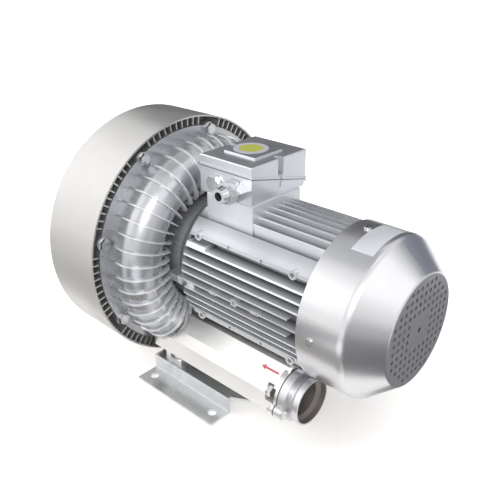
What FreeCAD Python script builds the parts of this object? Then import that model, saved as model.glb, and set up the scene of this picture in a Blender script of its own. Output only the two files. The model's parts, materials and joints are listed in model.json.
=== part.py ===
import FreeCAD, Part
import math
import os

# Side channel blower, two stages, with its motor. Millimetres.
# X runs along the shaft towards the fan, Z is up. Pieces are drawn about the shaft axis
# and lifted by the shaft height when they are saved, so the origin ends on the floor,
# in the middle of the four foot holes.

# Fits
shaft_height = 181.0
fit_gap = 0.03
run_gap = 0.5
seat_gap = 0.1
screw_gap = 0.2

# Base sheet
sheet = 3.5
base_height = 24.7
foot_length = 144.6
foot_reach = 117.3
foot_web = 85.1
foot_pitch_x = 115.0
foot_pitch_y = 200.0
foot_hole_radius = 6.0
bend_radius = 5.0
flare_reach = 94.0
flare_half_width = 68.0

# Side channel and its castings
stage_mid_x = -97.0
ring_width = 16.0
channel_mean_radius = 114.0
channel_radius = 23.0
channel_depth = 39.0
land_depth = 20.0
casting_wall = 5.0
flange_thickness = 12.0
flange_radius = 154.5
hub_wall = 11.0
interrupter_angle = 22.0
port_angle = 25.0
port_radius = 17.0
cover_bolt_radius = 151.0
cover_bolt_count = 8
cover_bolt_phase = 30.0
cover_bolt_size = 8.0
bolt_ear_radius = 8.5
bolt_face_radius = 9.2

# Ribs on the motor side of the channel
rib_count = 48
rib_thickness = 2.2
rib_height = 2.2
rib_corner_radius = 88.2
rib_corner_depth = 8.0

# Skirt and its webs
skirt_radius = 168.8
skirt_taper = 0.5
skirt_wall = 2.2
skirt_front_x = -74.0
skirt_corner = 6.0
web_count = 104
web_thickness = 2.0
web_clearance = 1.0
rear_rib_count = 12
rear_rib_thickness = 3.0
rear_lug_width = 16.8
rear_lug_length = 26.0

# Neck between the blower and the motor
neck_radius = 76.0
neck_wall = 6.0
neck_fillet = 9.5
neck_flare_radius = 82.0
neck_flare_length = 11.0
frame_front_x = -7.0
frame_collar = 5.0
flange_lug_radius = 82.0
flange_lug_width = 11.0
flange_lug_top = 89.5
housing_lug_x = -22.5
motor_lug_end_x = 0.0
motor_pad_x0 = 9.0
motor_pad_x1 = 22.0
motor_bolt_size = 6.0

# Silencers, one at each side under the motor
silencer_side = 88.2
silencer_inner = 28.0
silencer_bottom = 140.5
silencer_chamfer_z = 133.4
silencer_crease_z = 107.8
silencer_shoulder_y = 80.3
silencer_shoulder_z = 94.6
silencer_peak_y = 61.7
silencer_peak_z = 78.7
silencer_inner_top = 95.0
silencer_back_x = -65.0
silencer_end_x = 158.0
silencer_wall = 5.0
silencer_end_wall = 8.0
pocket_x = 138.0
pocket_wall = 4.0
pocket_inner_y = 72.2
pocket_low = 118.0
pocket_high = 96.0
pocket_skin = 1.6
tie_bolt_y = 80.5
tie_bolt_z = 108.0
tie_bolt_size = 8.0
tie_boss_radius = 5.8
tie_column_radius = 6.8

# Spigots
spigot_y = 59.5
spigot_z = 113.0
spigot_radius = 29.5
spigot_wall = 2.0
spigot_neck_radius = 25.5
spigot_bore = 22.5
spigot_seat = 7.4
spigot_length = 27.0
spigot_flare = 4.0
spigot_flange = 10.0
spigot_gasket = 1.5
spigot_middle = 32.0
spigot_ear = 8.0
spigot_bolt_offset = 32.5
spigot_bolt_angle = 13.0
spigot_bolt_size = 6.0

# Feet that stand on the base sheet
foot_post_x = -50.2
foot_post_width = 8.8
foot_post_y = (78.5, 50.0)
foot_post_depth = 16.0
foot_tab_length = 22.0
foot_tab_thickness = 5.0
foot_span = 94.0
foot_bolt_size = 8.0

# Motor frame
frame_bore = 72.0
frame_wall = 5.5
frame_end_x = 190.0
fin_radius = 93.5
fin_pitch = 10.6
fin_thickness = 2.2
fin_ramp_x = 5.0
side_fins = 4
top_fins = 5
short_fin_end_x = 171.5
ledge_y = 73.5
ledge_z = 57.5
ledge_edge = 5.0
ledge_inner_y = 52.5
ledge_inner_z = 67.8
rail_boss_x = 19.5
rail_boss_span = 144.5
rail_boss_z = 55.4
rail_boss_radius = 5.5
rail_boss_reach = 76.5
side_pad_x = (59.5, 125.3)
side_pad_length = 12.0
side_pad_width = 4.2
square_boss_x = 93.3
square_boss = 8.0
square_hole = 4.4
side_hole_radius = 1.1
side_hole_depth = 6.0
fin_dot_radius = 1.5
fin_dot_x = {1: (60.5, 124.7), 2: (52.5, 130.0)}
fin_bar_x0 = 4.0
fin_bar_x1 = 37.0
fin_bar_z0 = 42.0
fin_bar_z1 = 47.0
pedestal_x0 = 11.0
pedestal_x1 = 84.5
pedestal_y0 = -50.5
pedestal_y1 = 36.0
pedestal_top = 102.0

# Stator and rotor
core_x = 45.0
core_length = 100.0
stator_bore = 44.2
slot_count = 24
slot_width = 5.0
slot_depth = 15.0
overhang = 26.0
air_gap = 0.6
end_ring_length = 12.0
shaft_core_radius = 19.0

# Bearings: bore radius, outer radius, width
front_bearing = (15.0, 31.0, 16.0)
rear_bearing = (12.5, 26.0, 15.0)
front_bearing_x = -53.0
rear_bearing_x = 184.0
ball_count = 8
ball_share = 0.29
ring_share = 0.27
seal_x = -67.0
seal_width = 7.0
seal_radius = 23.5

# Impellers and the overhung shaft end
shaft_end_radius = 14.0
impeller_radius = 136.5
impeller_hub_radius = 26.0
impeller_disc = 6.5
vane_count = 36
vane_thickness = 2.5
vane_ring_wall = 3.5
vane_length = 31.0
spacer_radius = 20.0
key_width = 8.0
key_height = 7.0
key_length = 14.0

# Fan end
shield_thickness = 15.0
shield_radius = 88.0
shield_bolt_radius = 78.5
shield_bolt_size = 5.0
cowl_radius = 97.1
cowl_wall = 1.5
cowl_front_x = 186.8
cowl_shoulder_x = 243.1
cowl_end_x = 278.6
grille_radius = 65.8
grille_pitch = 9.6
grille_hole = 4.3
grille_outer = 58.5
grille_inner = 21.0
cowl_screw_x = 205.0
cowl_screw_size = 5.0
fan_x = 213.0
fan_width = 26.0
fan_radius = 82.0
fan_hub_radius = 22.0
fan_blades = 9

# Terminal box
box_x0 = -0.5
box_x1 = 82.0
box_y0 = -49.4
box_y1 = 46.1
box_front_seam = 134.0
box_back_seam = 110.0
box_wall = 3.5
box_rim = 2.5
box_rim_reach = 4.5
box_gasket = 1.0
lid_top = 148.0
lid_y1 = 48.3
lid_pad = 2.0
lid_pad_half = 24.5
groove_radius = 4.6
groove_tail = 2.0
groove_low = 111.0
groove_floor = 126.0
lid_screw_size = 5.0
lid_screw_inset = 5.0
lid_screw_y = 1.0
box_screw_x = 25.5
box_screw_y = 30.0
box_screw_y0 = -6.0

# Cable gland and blanking plug
gland_x = 60.0
plug_x = 24.0
gland_z = 118.0
gland_hex = 24.0
gland_body = 8.0
gland_nut = 15.0
gland_nose = 8.0
gland_nose_radius = 9.0
gland_mouth = 5.3
gland_lip = 2.5
gland_bore = 4.5
gland_thread_radius = 10.0
plug_radius = 10.5
plug_hex = 17.0
plug_head = 6.0


# Values that follow from the ones above
joint_x = stage_mid_x + ring_width / 2
channel_x = joint_x + channel_depth
land_x = joint_x + land_depth
torus_radius = channel_radius + casting_wall
torus_inner = channel_mean_radius - torus_radius
torus_outer = channel_mean_radius + torus_radius
flange_front_x = joint_x + flange_thickness
recess_x = land_x + hub_wall
crest_x = channel_x + torus_radius
floor_z = -shaft_height
spigot_base_x = silencer_end_x + spigot_gasket
spigot_end_x = spigot_base_x + spigot_length
sheet_top = floor_z + base_height
core_end_x = core_x + core_length
bolt_angles = [cover_bolt_phase + 360.0 / cover_bolt_count * i for i in range(cover_bolt_count)]
seam_slope = (box_back_seam - box_front_seam) / (box_y1 - box_y0)


def closed_wire(start, steps, put):
    """A closed outline. Two numbers are a straight run, four are an arc by its middle point."""
    edges = []
    here = put(*start)
    for step in list(steps) + [start]:
        target = put(*step[-2:])
        if len(step) == 4:
            edges.append(Part.Arc(here, put(*step[:2]), target).toShape())
        else:
            edges.append(Part.makeLine(here, target))
        here = target
    return Part.Wire(edges)


def turned(start, *steps, angle=360.0):
    """A solid turned about the shaft axis from an outline of (x, radius) points."""
    wire = closed_wire(start, steps, lambda x, r: FreeCAD.Vector(x, 0, r))
    return Part.Face(wire).revolve(FreeCAD.Vector(0, 0, 0), FreeCAD.Vector(1, 0, 0), angle)


def plate(thickness, start, *steps):
    """A flat rib in the plane of the axis, drawn above the shaft from (x, radius) points."""
    wire = closed_wire(start, steps, lambda x, r: FreeCAD.Vector(x, -thickness / 2, r))
    return Part.Face(wire).extrude(FreeCAD.Vector(0, thickness, 0))


def along_x(x0, x1, start, *steps):
    """A prism from x0 to x1 with an outline of (y, z) points."""
    wire = closed_wire(start, steps, lambda y, z: FreeCAD.Vector(x0, y, z))
    return Part.Face(wire).extrude(FreeCAD.Vector(x1 - x0, 0, 0))


def along_z(z0, z1, start, *steps):
    """A prism from z0 to z1 with an outline of (x, y) points."""
    wire = closed_wire(start, steps, lambda x, y: FreeCAD.Vector(x, y, z0))
    return Part.Face(wire).extrude(FreeCAD.Vector(0, 0, z1 - z0))


def block(x0, x1, y0, y1, z0, z1):
    return Part.makeBox(x1 - x0, y1 - y0, z1 - z0, FreeCAD.Vector(x0, y0, z0))


def rod_x(radius, x0, x1, y=0.0, z=0.0):
    return Part.makeCylinder(radius, x1 - x0, FreeCAD.Vector(x0, y, z), FreeCAD.Vector(1, 0, 0))


def rod_y(radius, y0, y1, x, z):
    return Part.makeCylinder(radius, y1 - y0, FreeCAD.Vector(x, y0, z), FreeCAD.Vector(0, 1, 0))


def rod_z(radius, z0, z1, x, y):
    return Part.makeCylinder(radius, z1 - z0, FreeCAD.Vector(x, y, z0), FreeCAD.Vector(0, 0, 1))


def ring_x(outer, inner, x0, x1, y=0.0, z=0.0):
    return rod_x(outer, x0, x1, y, z).cut(rod_x(inner, x0 - 1, x1 + 1, y, z))


def hexagon(across, length, base, direction):
    """A hexagonal prism that starts at base and runs along direction."""
    corner = across / math.sqrt(3)
    points = [FreeCAD.Vector(corner * math.cos(math.radians(60 * i)),
                             corner * math.sin(math.radians(60 * i)), 0) for i in range(7)]
    prism = Part.Face(Part.makePolygon(points)).extrude(FreeCAD.Vector(0, 0, length))
    turn = FreeCAD.Rotation(FreeCAD.Vector(0, 0, 1), direction)
    prism.Placement = FreeCAD.Placement(base, turn)
    return prism


def hex_bolt(size, grip, base, direction):
    """A hex head bolt: base is under the head, and the shank runs against direction."""
    head = hexagon(size * 1.625, size * 0.65, base, direction)
    washer = Part.makeCylinder(size, size * 0.2, base, direction)
    head.translate(direction * size * 0.2)
    shank = Part.makeCylinder(size / 2 - screw_gap, grip, base - direction * grip, direction)
    return head.fuse([washer, shank])


def spun(shape, angle):
    """The shape turned about the shaft, where 90 degrees leaves it above the axis."""
    copy = shape.copy()
    copy.rotate(FreeCAD.Vector(0, 0, 0), FreeCAD.Vector(1, 0, 0), angle - 90.0)
    return copy


def spot(radius, angle):
    """The (y, z) place at a radius and an angle that is counted from +Y towards +Z."""
    return radius * math.cos(math.radians(angle)), radius * math.sin(math.radians(angle))


def mirrored_y(shape):
    return shape.mirror(FreeCAD.Vector(0, 0, 0), FreeCAD.Vector(0, 1, 0))


def mirrored_stage(shape):
    return shape.mirror(FreeCAD.Vector(stage_mid_x, 0, 0), FreeCAD.Vector(1, 0, 0))


def both_sides(shape):
    return [shape, mirrored_y(shape)]


def save(node, shape):
    """Lifts the piece from the shaft axis to its height over the floor and writes it."""
    placed = shape.copy()
    placed.translate(FreeCAD.Vector(0, 0, shaft_height))
    placed.exportStep("parts/" + node + ".step")


def group(shapes):
    return Part.makeCompound(shapes)


# Base sheet: two feet, two upright webs and a top that widens under the silencers
def base_plate():
    half = foot_length / 2
    low, top = floor_z, sheet_top
    outer = along_x(-half, half, (-foot_reach, low), (sheet - foot_web, low),
                    (sheet - foot_web, top - sheet), (foot_web - sheet, top - sheet),
                    (foot_web - sheet, low), (foot_reach, low), (foot_reach, low + sheet),
                    (foot_web, low + sheet), (foot_web, top), (-foot_web, top),
                    (-foot_web, low + sheet), (-foot_reach, low + sheet))
    bends = [edge for edge in outer.Edges
             if abs(edge.Length - foot_length) < 0.01 and abs(abs(edge.CenterOfMass.y) - foot_web) < 0.01]
    outer = outer.makeFillet(bend_radius - sheet, bends)
    wing = along_z(top - sheet, top, (half - 1, -foot_web + bend_radius),
                   (half, -foot_web + bend_radius), (flare_reach, -flare_half_width),
                   (flare_reach, flare_half_width), (half, foot_web - bend_radius),
                   (half - 1, foot_web - bend_radius))
    holes = [rod_z(foot_hole_radius, low - 1, low + sheet + 1, sx * foot_pitch_x / 2, sy * foot_pitch_y / 2)
             for sx in (-1, 1) for sy in (-1, 1)]
    holes += [rod_z(foot_bolt_size / 2, top - sheet - 1, top + 1, x, y) for x, y in foot_bolt_places()]
    return outer.fuse(wing).cut(holes).removeSplitter()


def foot_bolt_places():
    """Places of the four bolts that hold the silencer feet on the sheet."""
    first = foot_post_x + foot_post_width / 2 + foot_tab_length / 2
    return [(first + i * foot_span, s * (foot_post_y[i] - foot_post_depth / 2)) for i in (0, 1) for s in (-1, 1)]


def base_bolts():
    bolts = [hex_bolt(foot_bolt_size, foot_tab_thickness + sheet + 12.0,
                      FreeCAD.Vector(x, y, sheet_top + foot_tab_thickness), FreeCAD.Vector(0, 0, 1))
             for x, y in foot_bolt_places()]
    return group(bolts)


def base_nuts():
    height = foot_bolt_size * 0.8
    under = sheet_top - sheet
    nuts = [hexagon(foot_bolt_size * 1.625, height, FreeCAD.Vector(x, y, under - height),
                    FreeCAD.Vector(0, 0, 1)).cut(rod_z(foot_bolt_size / 2, under - 20, under + 1, x, y))
            for x, y in foot_bolt_places()]
    return group(nuts)


# Castings of the side channel
def torus_outline(grow):
    """The outer wall of the channel, grown by a distance, as an arc from outside to inside."""
    r = torus_radius + grow
    return (channel_x + r, channel_mean_radius, channel_x, channel_mean_radius - r)


def motor_side_shell():
    """Flange, channel wall, recess and neck in one turned section."""
    m = channel_mean_radius
    bore_out = front_bearing[1] + fit_gap
    shoulder = front_bearing_x
    round_off = neck_fillet * (1 - math.sqrt(0.5))
    return turned((joint_x, m + channel_radius), (joint_x, flange_radius), (flange_front_x, flange_radius),
                  (flange_front_x, torus_outer), (channel_x, torus_outer), torus_outline(0.0),
                  (recess_x, torus_inner), (recess_x, neck_radius + neck_fillet),
                  (recess_x + round_off, neck_radius + round_off, recess_x + neck_fillet, neck_radius),
                  (frame_front_x - neck_flare_length, neck_radius), (frame_front_x, neck_flare_radius),
                  (frame_front_x, neck_radius - neck_wall), (recess_x, neck_radius - neck_wall),
                  (recess_x, bore_out + 9.0), (shoulder + front_bearing[2], bore_out + 7.0),
                  (shoulder + front_bearing[2], bore_out), (shoulder, bore_out),
                  (shoulder, shaft_end_radius + 5.0), (seal_x + seal_width, shaft_end_radius + 5.0),
                  (seal_x + seal_width, seal_radius), (land_x, seal_radius),
                  (land_x, m - channel_radius), (channel_x, m - channel_radius),
                  (channel_x + channel_radius, m, channel_x, m + channel_radius))


def channel_plug():
    """The interrupter, which fills the channel between the inlet and the outlet."""
    m, r = channel_mean_radius, channel_radius + 1.0
    x0 = joint_x + 34.0
    plug = turned((x0, m - r), (x0, m + r), (channel_x, m + r), (channel_x + r, m, channel_x, m - r),
                  angle=interrupter_angle)
    return spun(plug, 360.0 - interrupter_angle / 2)


def casing_rib():
    """One rib over the channel: low outside, with a free corner towards the motor."""
    m, high, deep = channel_mean_radius, torus_radius + rib_height, torus_radius - casting_wall / 2
    diagonal = math.sqrt(0.5)
    corner_x = crest_x - rib_corner_depth
    return plate(rib_thickness, (flange_front_x - 1, m + deep), (flange_front_x - 1, torus_outer + 5.0),
                 (flange_front_x + 3.0, torus_outer + 5.0), (channel_x, m + high),
                 (channel_x + high * diagonal, m + high * diagonal, channel_x + high, m),
                 (corner_x, rib_corner_radius), (recess_x + 6.0, torus_inner - 2.5),
                 (recess_x, torus_inner - 2.5), (recess_x - 1, m - deep), (channel_x, m - deep),
                 (channel_x + deep, m, channel_x, m + deep))


def rib_angles():
    """Ribs run round the top and sides, and stop where the silencers meet the channel."""
    pitch = 360.0 / rib_count
    return [90.0 + pitch * i for i in range(rib_count) if math.sin(math.radians(90.0 + pitch * i)) > -0.74]


def tie_rods(radius, x0, x1):
    return [rod_x(radius, x0, x1, s * tie_bolt_y, -tie_bolt_z) for s in (-1, 1)]


def port_places():
    return [spot(channel_mean_radius, 270.0 + s * port_angle) for s in (-1, 1)]


def flange_ears():
    """Thick ears of the joint flange at the bolts."""
    return [rod_x(bolt_ear_radius, joint_x, flange_front_x, *spot(cover_bolt_radius, a)) for a in bolt_angles]


def cover_bolt_holes(x0, x1, radius=cover_bolt_size / 2):
    return [rod_x(radius, x0, x1, *spot(cover_bolt_radius, a)) for a in bolt_angles]


def motor_lug_angles():
    """The two lugs at the sides sit a little under the shaft's height."""
    return [-5.0, 90.0, 185.0, 270.0]


def motor_lugs(x0, x1):
    """Blocks on the neck and on the frame that the motor bolts run through."""
    half = flange_lug_width / 2
    lug = block(x0, x1, -half, half, neck_radius - neck_wall / 2, flange_lug_top)
    return [spun(lug, a) for a in motor_lug_angles()]


def motor_bolt_holes(radius, x0, x1):
    return [rod_x(radius, x0, x1, *spot(flange_lug_radius, a)) for a in motor_lug_angles()]


def blower_housing():
    shell = motor_side_shell()
    ribs = [spun(casing_rib(), a) for a in rib_angles()]
    lugs = motor_lugs(housing_lug_x, frame_front_x)
    bosses = [rod_x(port_radius + 5.0, channel_x, crest_x + 5.0, y, z) for y, z in port_places()]
    bosses += tie_rods(tie_boss_radius, channel_x + 10.0, crest_x + 5.0)
    solid = shell.fuse(ribs + lugs + bosses + flange_ears())
    m = channel_mean_radius
    channel = turned((joint_x - 1, m - channel_radius), (joint_x - 1, m + channel_radius),
                     (channel_x, m + channel_radius),
                     (channel_x + channel_radius, m, channel_x, m - channel_radius))
    solid = solid.cut([channel])
    cuts = cover_bolt_holes(joint_x - 1, flange_front_x + 1)
    cuts += cover_bolt_holes(flange_front_x, flange_front_x + 14.0, bolt_face_radius)
    cuts += motor_bolt_holes(motor_bolt_size / 2 + seat_gap, housing_lug_x + 2.0, frame_front_x + 1)
    cuts += tie_rods(tie_bolt_size / 2, channel_x + 14.0, crest_x + 6.0)
    solid = solid.cut(cuts)
    solid = solid.fuse(channel_plug())
    return solid.cut([rod_x(port_radius, channel_x, crest_x + 6.0, y, z) for y, z in port_places()])


def intermediate_ring():
    """The ring between the two stages, with its dividing web and the transfer port."""
    x0, x1 = joint_x - ring_width, joint_x
    ring = ring_x(flange_radius, spacer_radius + run_gap, x0, x1)
    ears = [rod_x(bolt_ear_radius, x0, x1, *spot(cover_bolt_radius, a)) for a in bolt_angles]
    depth = 1.5
    rim = impeller_radius + run_gap
    recesses = [ring_x(rim, spacer_radius - 1, a, b) for a, b in ((x1 - depth, x1 + 1), (x0 - 1, x0 + depth))]
    transfer = rod_x(port_radius, x0 - 1, x1 + 1, *spot(channel_mean_radius, 270.0 + 2 * port_angle))
    return ring.fuse(ears).cut(recesses + [transfer] + cover_bolt_holes(x0 - 1, x1 + 1))


def rear_shell():
    """The rear cover's turned section, mirrored from the motor side about the ring."""
    m = channel_mean_radius
    pocket = spacer_radius + 3.0
    shell = turned((joint_x, m + channel_radius), (joint_x, torus_outer + 2.0), (channel_x, torus_outer),
                   torus_outline(0.0), (recess_x, torus_inner), (recess_x, 34.0), (recess_x + 6.0, 32.0),
                   (recess_x + 6.0, 0.0), (land_x + 8.5, 0.0), (land_x + 8.5, pocket), (land_x, pocket),
                   (land_x, m - channel_radius), (channel_x, m - channel_radius),
                   (channel_x + channel_radius, m, channel_x, m + channel_radius))
    return mirrored_stage(shell)


def skirt():
    """The plain shroud round the joint, a little narrower at the back, with a rounded edge."""
    back_x = 2 * stage_mid_x - crest_x
    back = skirt_radius - skirt_taper
    c = skirt_corner
    turn = c * (1 - math.sqrt(0.5))
    return turned((skirt_front_x, skirt_radius), (back_x + c, back),
                  (back_x + turn, back - turn, back_x, back - c), (back_x + skirt_wall, back - c),
                  (back_x + c, back - skirt_wall), (skirt_front_x, skirt_radius - skirt_wall))


def skirt_web():
    """One web between the channel wall and the skirt, stepped over the joint flanges."""
    m, deep = channel_mean_radius, torus_radius - 1.5
    back_x = 2 * stage_mid_x - crest_x
    centre_x = 2 * stage_mid_x - channel_x
    split_x = joint_x - ring_width
    bite_x = centre_x - deep * math.sin(math.radians(60))
    bite_r = m + deep * math.cos(math.radians(60))
    mid_x = centre_x - deep * math.sin(math.radians(30))
    mid_r = m + deep * math.cos(math.radians(30))
    clear = flange_radius + web_clearance
    outside = skirt_radius - skirt_wall / 2
    return plate(web_thickness, (skirt_front_x - 4.0, clear), (skirt_front_x - 4.0, outside),
                 (back_x + 4.5, outside - skirt_taper), (back_x + 4.5, bite_r + 4.0), (bite_x, bite_r),
                 (mid_x, mid_r, centre_x, m + deep), (split_x - web_clearance, torus_outer - 1.5),
                 (split_x - web_clearance, clear))


def web_angles():
    """Webs all round, apart from the places of the bolt lugs."""
    pitch = 360.0 / web_count
    keep = []
    for i in range(web_count):
        angle = cover_bolt_phase + pitch * i
        away = min(abs((angle - a + 180.0) % 360.0 - 180.0) for a in bolt_angles)
        if away > pitch * 1.05:
            keep.append(angle)
    return keep


def rear_cover():
    split_x = joint_x - ring_width
    lug_end = split_x - rear_lug_length
    webs = [spun(skirt_web(), a) for a in web_angles()]
    reach = skirt_radius - skirt_wall / 2 - skirt_taper
    lug = plate(rear_lug_width, (split_x, torus_outer - 1.5), (split_x, reach), (lug_end, reach),
                (lug_end - 8.0, torus_outer - 1.5))
    lugs = [spun(lug, a) for a in bolt_angles]
    hub_x = 2 * stage_mid_x - recess_x
    spoke = plate(rear_rib_thickness, (hub_x + 1, 30.0), (hub_x + 1, torus_inner + 2.0),
                  (hub_x - 14.0, torus_inner + 2.0),
                  (hub_x - 6.0, 30.0))
    spokes = [spun(spoke, 360.0 / rear_rib_count * i) for i in range(rear_rib_count)]
    solid = rear_shell().fuse([skirt()] + webs + lugs + spokes)
    holes = cover_bolt_holes(lug_end + 4.0, split_x + 1)
    m = channel_mean_radius
    plug = mirrored_stage(channel_plug())
    solid = solid.fuse(plug).cut(holes)
    transfer = rod_x(port_radius - 2.0, split_x - 30.0, split_x + 1, *spot(m, 270.0 + 2 * port_angle))
    return solid.cut(transfer)


def cover_bolts():
    grip = flange_thickness + ring_width + 18.0
    bolts = [hex_bolt(cover_bolt_size, grip, FreeCAD.Vector(flange_front_x, *spot(cover_bolt_radius, a)),
                      FreeCAD.Vector(1, 0, 0)) for a in bolt_angles]
    return group(bolts)


# Silencers
def silencer_outline(inset, x0, x1):
    """The silencer's section on the visible side, drawn in by an inset."""
    k = inset
    return along_x(x0, x1, (-silencer_side + k, -silencer_chamfer_z + k * 0.5),
                   (-silencer_side + k, -silencer_crease_z - k * 0.3),
                   (-silencer_shoulder_y + k * 0.7, -silencer_shoulder_z - k * 0.8),
                   (-silencer_peak_y, -silencer_peak_z - k * 1.2),
                   (-silencer_inner - k, -silencer_inner_top - k * 1.1),
                   (-silencer_inner - k, -silencer_bottom + k),
                   (-silencer_side + 7.0 + k * 0.5, -silencer_bottom + k))


def channel_clearance(gap):
    """The space that the ribbed channel needs, for whatever is fitted round it."""
    m = channel_mean_radius
    reach = rib_height + gap
    back_x = flange_front_x - 20.0
    step_x = flange_front_x + gap + 8.0
    return turned((back_x, 60.0), (back_x, flange_radius + 3.0), (step_x, flange_radius + 3.0),
                  (step_x, torus_outer + reach), (channel_x, torus_outer + reach),
                  (channel_x + torus_radius + reach, m, channel_x, torus_inner - reach),
                  (channel_x, 60.0))


def silencer_foot(index):
    """A post and a bolted tab that stand on the base sheet."""
    x0 = foot_post_x - foot_post_width / 2 + index * foot_span
    x1 = x0 + foot_post_width
    y0 = -foot_post_y[index]
    y1 = y0 + foot_post_depth
    post = block(x0, x1, y0, y1, sheet_top, -silencer_bottom + 1.0)
    tab = block(x1 - 1, x1 + foot_tab_length, y0, y1, sheet_top, sheet_top + foot_tab_thickness)
    return post.fuse(tab)


def silencer_pocket(grow):
    """The notch at the end of the silencer that the tie bolt's head sits in, grown by a distance."""
    x0, x1 = pocket_x - grow, silencer_end_x - pocket_wall + grow
    return block(x0, x1, -silencer_side - 10.0, grow - pocket_inner_y, -pocket_low - grow, grow - pocket_high)


def visible_silencer():
    body = silencer_outline(0.0, silencer_back_x, silencer_end_x)
    collar = silencer_outline(-1.2, silencer_end_x - 3.0, silencer_end_x)
    feet = [silencer_foot(i) for i in (0, 1)]
    end = silencer_end_x
    flange = spigot_ears(end - silencer_end_wall, end)
    chamber = silencer_outline(silencer_wall, crest_x + 8.0, end - silencer_end_wall)
    corner = rod_x(tie_column_radius, silencer_back_x, end - silencer_end_wall, -tie_bolt_y, -tie_bolt_z)
    chamber = chamber.cut([corner, silencer_pocket(pocket_skin)])
    clearance = channel_clearance(0.3)
    port = port_places()[0]
    port_room = rod_x(port_radius + 5.3, silencer_back_x, crest_x + 5.3, *port)
    tie_room = rod_x(tie_boss_radius + 0.3, silencer_back_x, crest_x + 5.3, -tie_bolt_y, -tie_bolt_z)
    duct = rod_x(port_radius, crest_x, crest_x + 20.0, *port)
    mouth = rod_x(spigot_bore, end - silencer_end_wall - 1, end + 1, -spigot_y, -spigot_z)
    tie_hole = rod_x(tie_bolt_size / 2, crest_x, pocket_x + 1, -tie_bolt_y, -tie_bolt_z)
    foot_holes = [rod_z(foot_bolt_size / 2, sheet_top - 1, sheet_top + foot_tab_thickness + 1, x, y)
                  for x, y in foot_bolt_places() if y < 0]
    spigot_holes = [rod_x(spigot_bolt_size / 2, end - silencer_end_wall - 1, end + 1, y, z)
                    for y, z in spigot_bolt_places()]
    rooms = [chamber, silencer_pocket(0.0), clearance, port_room, tie_room]
    holes = [duct, mouth, tie_hole] + foot_holes + spigot_holes
    return body.fuse([collar, flange] + feet).cut(rooms).cut(holes).removeSplitter()


def silencer_foam():
    """The sound-absorbing lining, with a straight duct from the spigot to the port."""
    gap = 0.3
    body = silencer_outline(silencer_wall + gap, crest_x + 8.0 + gap, silencer_end_x - silencer_end_wall - gap)
    corner = rod_x(tie_column_radius + gap, crest_x, silencer_end_x, -tie_bolt_y, -tie_bolt_z)
    duct = rod_x(spigot_bore - 1.5, crest_x, silencer_end_x, -spigot_y, -spigot_z)
    return body.cut([corner, silencer_pocket(pocket_skin + gap), duct])


def tie_bolts():
    start = pocket_x
    bolt = hex_bolt(tie_bolt_size, start - (channel_x + 18.0),
                    FreeCAD.Vector(start, -tie_bolt_y, -tie_bolt_z), FreeCAD.Vector(1, 0, 0))
    return group(both_sides(bolt))


# Spigots
def spigot_bolt_places():
    """The two flange bolts on a slanted line through the bore."""
    dy, dz = spot(spigot_bolt_offset, spigot_bolt_angle)
    return [(-spigot_y - dy, -spigot_z - dz), (-spigot_y + dy, -spigot_z + dz)]


def spigot_ears(x0, x1):
    """The oval outline of the two-bolt flange: a round middle with two narrower ends."""
    middle = rod_x(spigot_middle, x0, x1, -spigot_y, -spigot_z)
    ends = [rod_x(spigot_ear, x0, x1, y, z) for y, z in spigot_bolt_places()]
    (ya, za), (yb, zb) = spigot_bolt_places()
    dy, dz = spot(spigot_ear, spigot_bolt_angle + 90.0)
    bridge = along_x(x0, x1, (ya + dy, za + dz), (yb + dy, zb + dz), (yb - dy, zb - dz), (ya - dy, za - dz))
    return middle.fuse(ends + [bridge]).removeSplitter()


def spigot_form(neck, mouth):
    """The flared pipe by its radii: a neck for the bolt heads, a flare and a straight mouth for the hose."""
    seat_x = spigot_end_x - spigot_seat
    flare_x = seat_x - spigot_flare
    outline = ((flare_x, 0.0), (flare_x, neck), (seat_x, mouth), (spigot_end_x, mouth), (spigot_end_x, 0.0))
    pipe = turned(*outline).fuse(rod_x(neck, spigot_base_x, flare_x + fit_gap))
    pipe.translate(FreeCAD.Vector(0, -spigot_y, -spigot_z))
    return pipe


def spigot():
    face = spigot_base_x + spigot_flange
    flange = spigot_ears(spigot_base_x, face)
    bore = spigot_form(spigot_bore, spigot_radius - spigot_wall)
    ends = [rod_x(spigot_bore, spigot_base_x - 1, spigot_base_x + 1, -spigot_y, -spigot_z),
            rod_x(spigot_radius - spigot_wall, spigot_end_x - 1, spigot_end_x + 1, -spigot_y, -spigot_z)]
    holes = [rod_x(spigot_bolt_size / 2, spigot_base_x - 1, face + 1, y, z) for y, z in spigot_bolt_places()]
    return flange.fuse(spigot_form(spigot_neck_radius, spigot_radius)).cut([bore] + ends + holes).removeSplitter()


def spigot_gasket_ring():
    ears = spigot_ears(silencer_end_x, spigot_base_x)
    holes = [rod_x(spigot_bolt_size / 2, silencer_end_x - 1, spigot_base_x + 1, y, z)
             for y, z in spigot_bolt_places()]
    return ears.cut([rod_x(spigot_bore, silencer_end_x - 1, spigot_base_x + 1, -spigot_y, -spigot_z)] + holes)


def spigot_bolts():
    face = spigot_base_x + spigot_flange
    bolts = [hex_bolt(spigot_bolt_size, spigot_flange + spigot_gasket + silencer_end_wall - 1.0,
                      FreeCAD.Vector(face, y, z), FreeCAD.Vector(1, 0, 0)) for y, z in spigot_bolt_places()]
    return group(bolts + [mirrored_y(b) for b in bolts])


# Motor frame
def corner_copies(shape):
    """The shape at the four corners of the frame, mirrored about both middle planes."""
    flipped = shape.mirror(FreeCAD.Vector(0, 0, 0), FreeCAD.Vector(0, 0, 1))
    return both_sides(shape) + both_sides(flipped)


def fin_envelope():
    """The round the fins fill, which narrows to the neck at the front."""
    return turned((frame_front_x, 0.0), (frame_front_x, neck_flare_radius), (fin_ramp_x, fin_radius),
                  (frame_end_x, fin_radius), (frame_end_x, 0.0))


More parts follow.
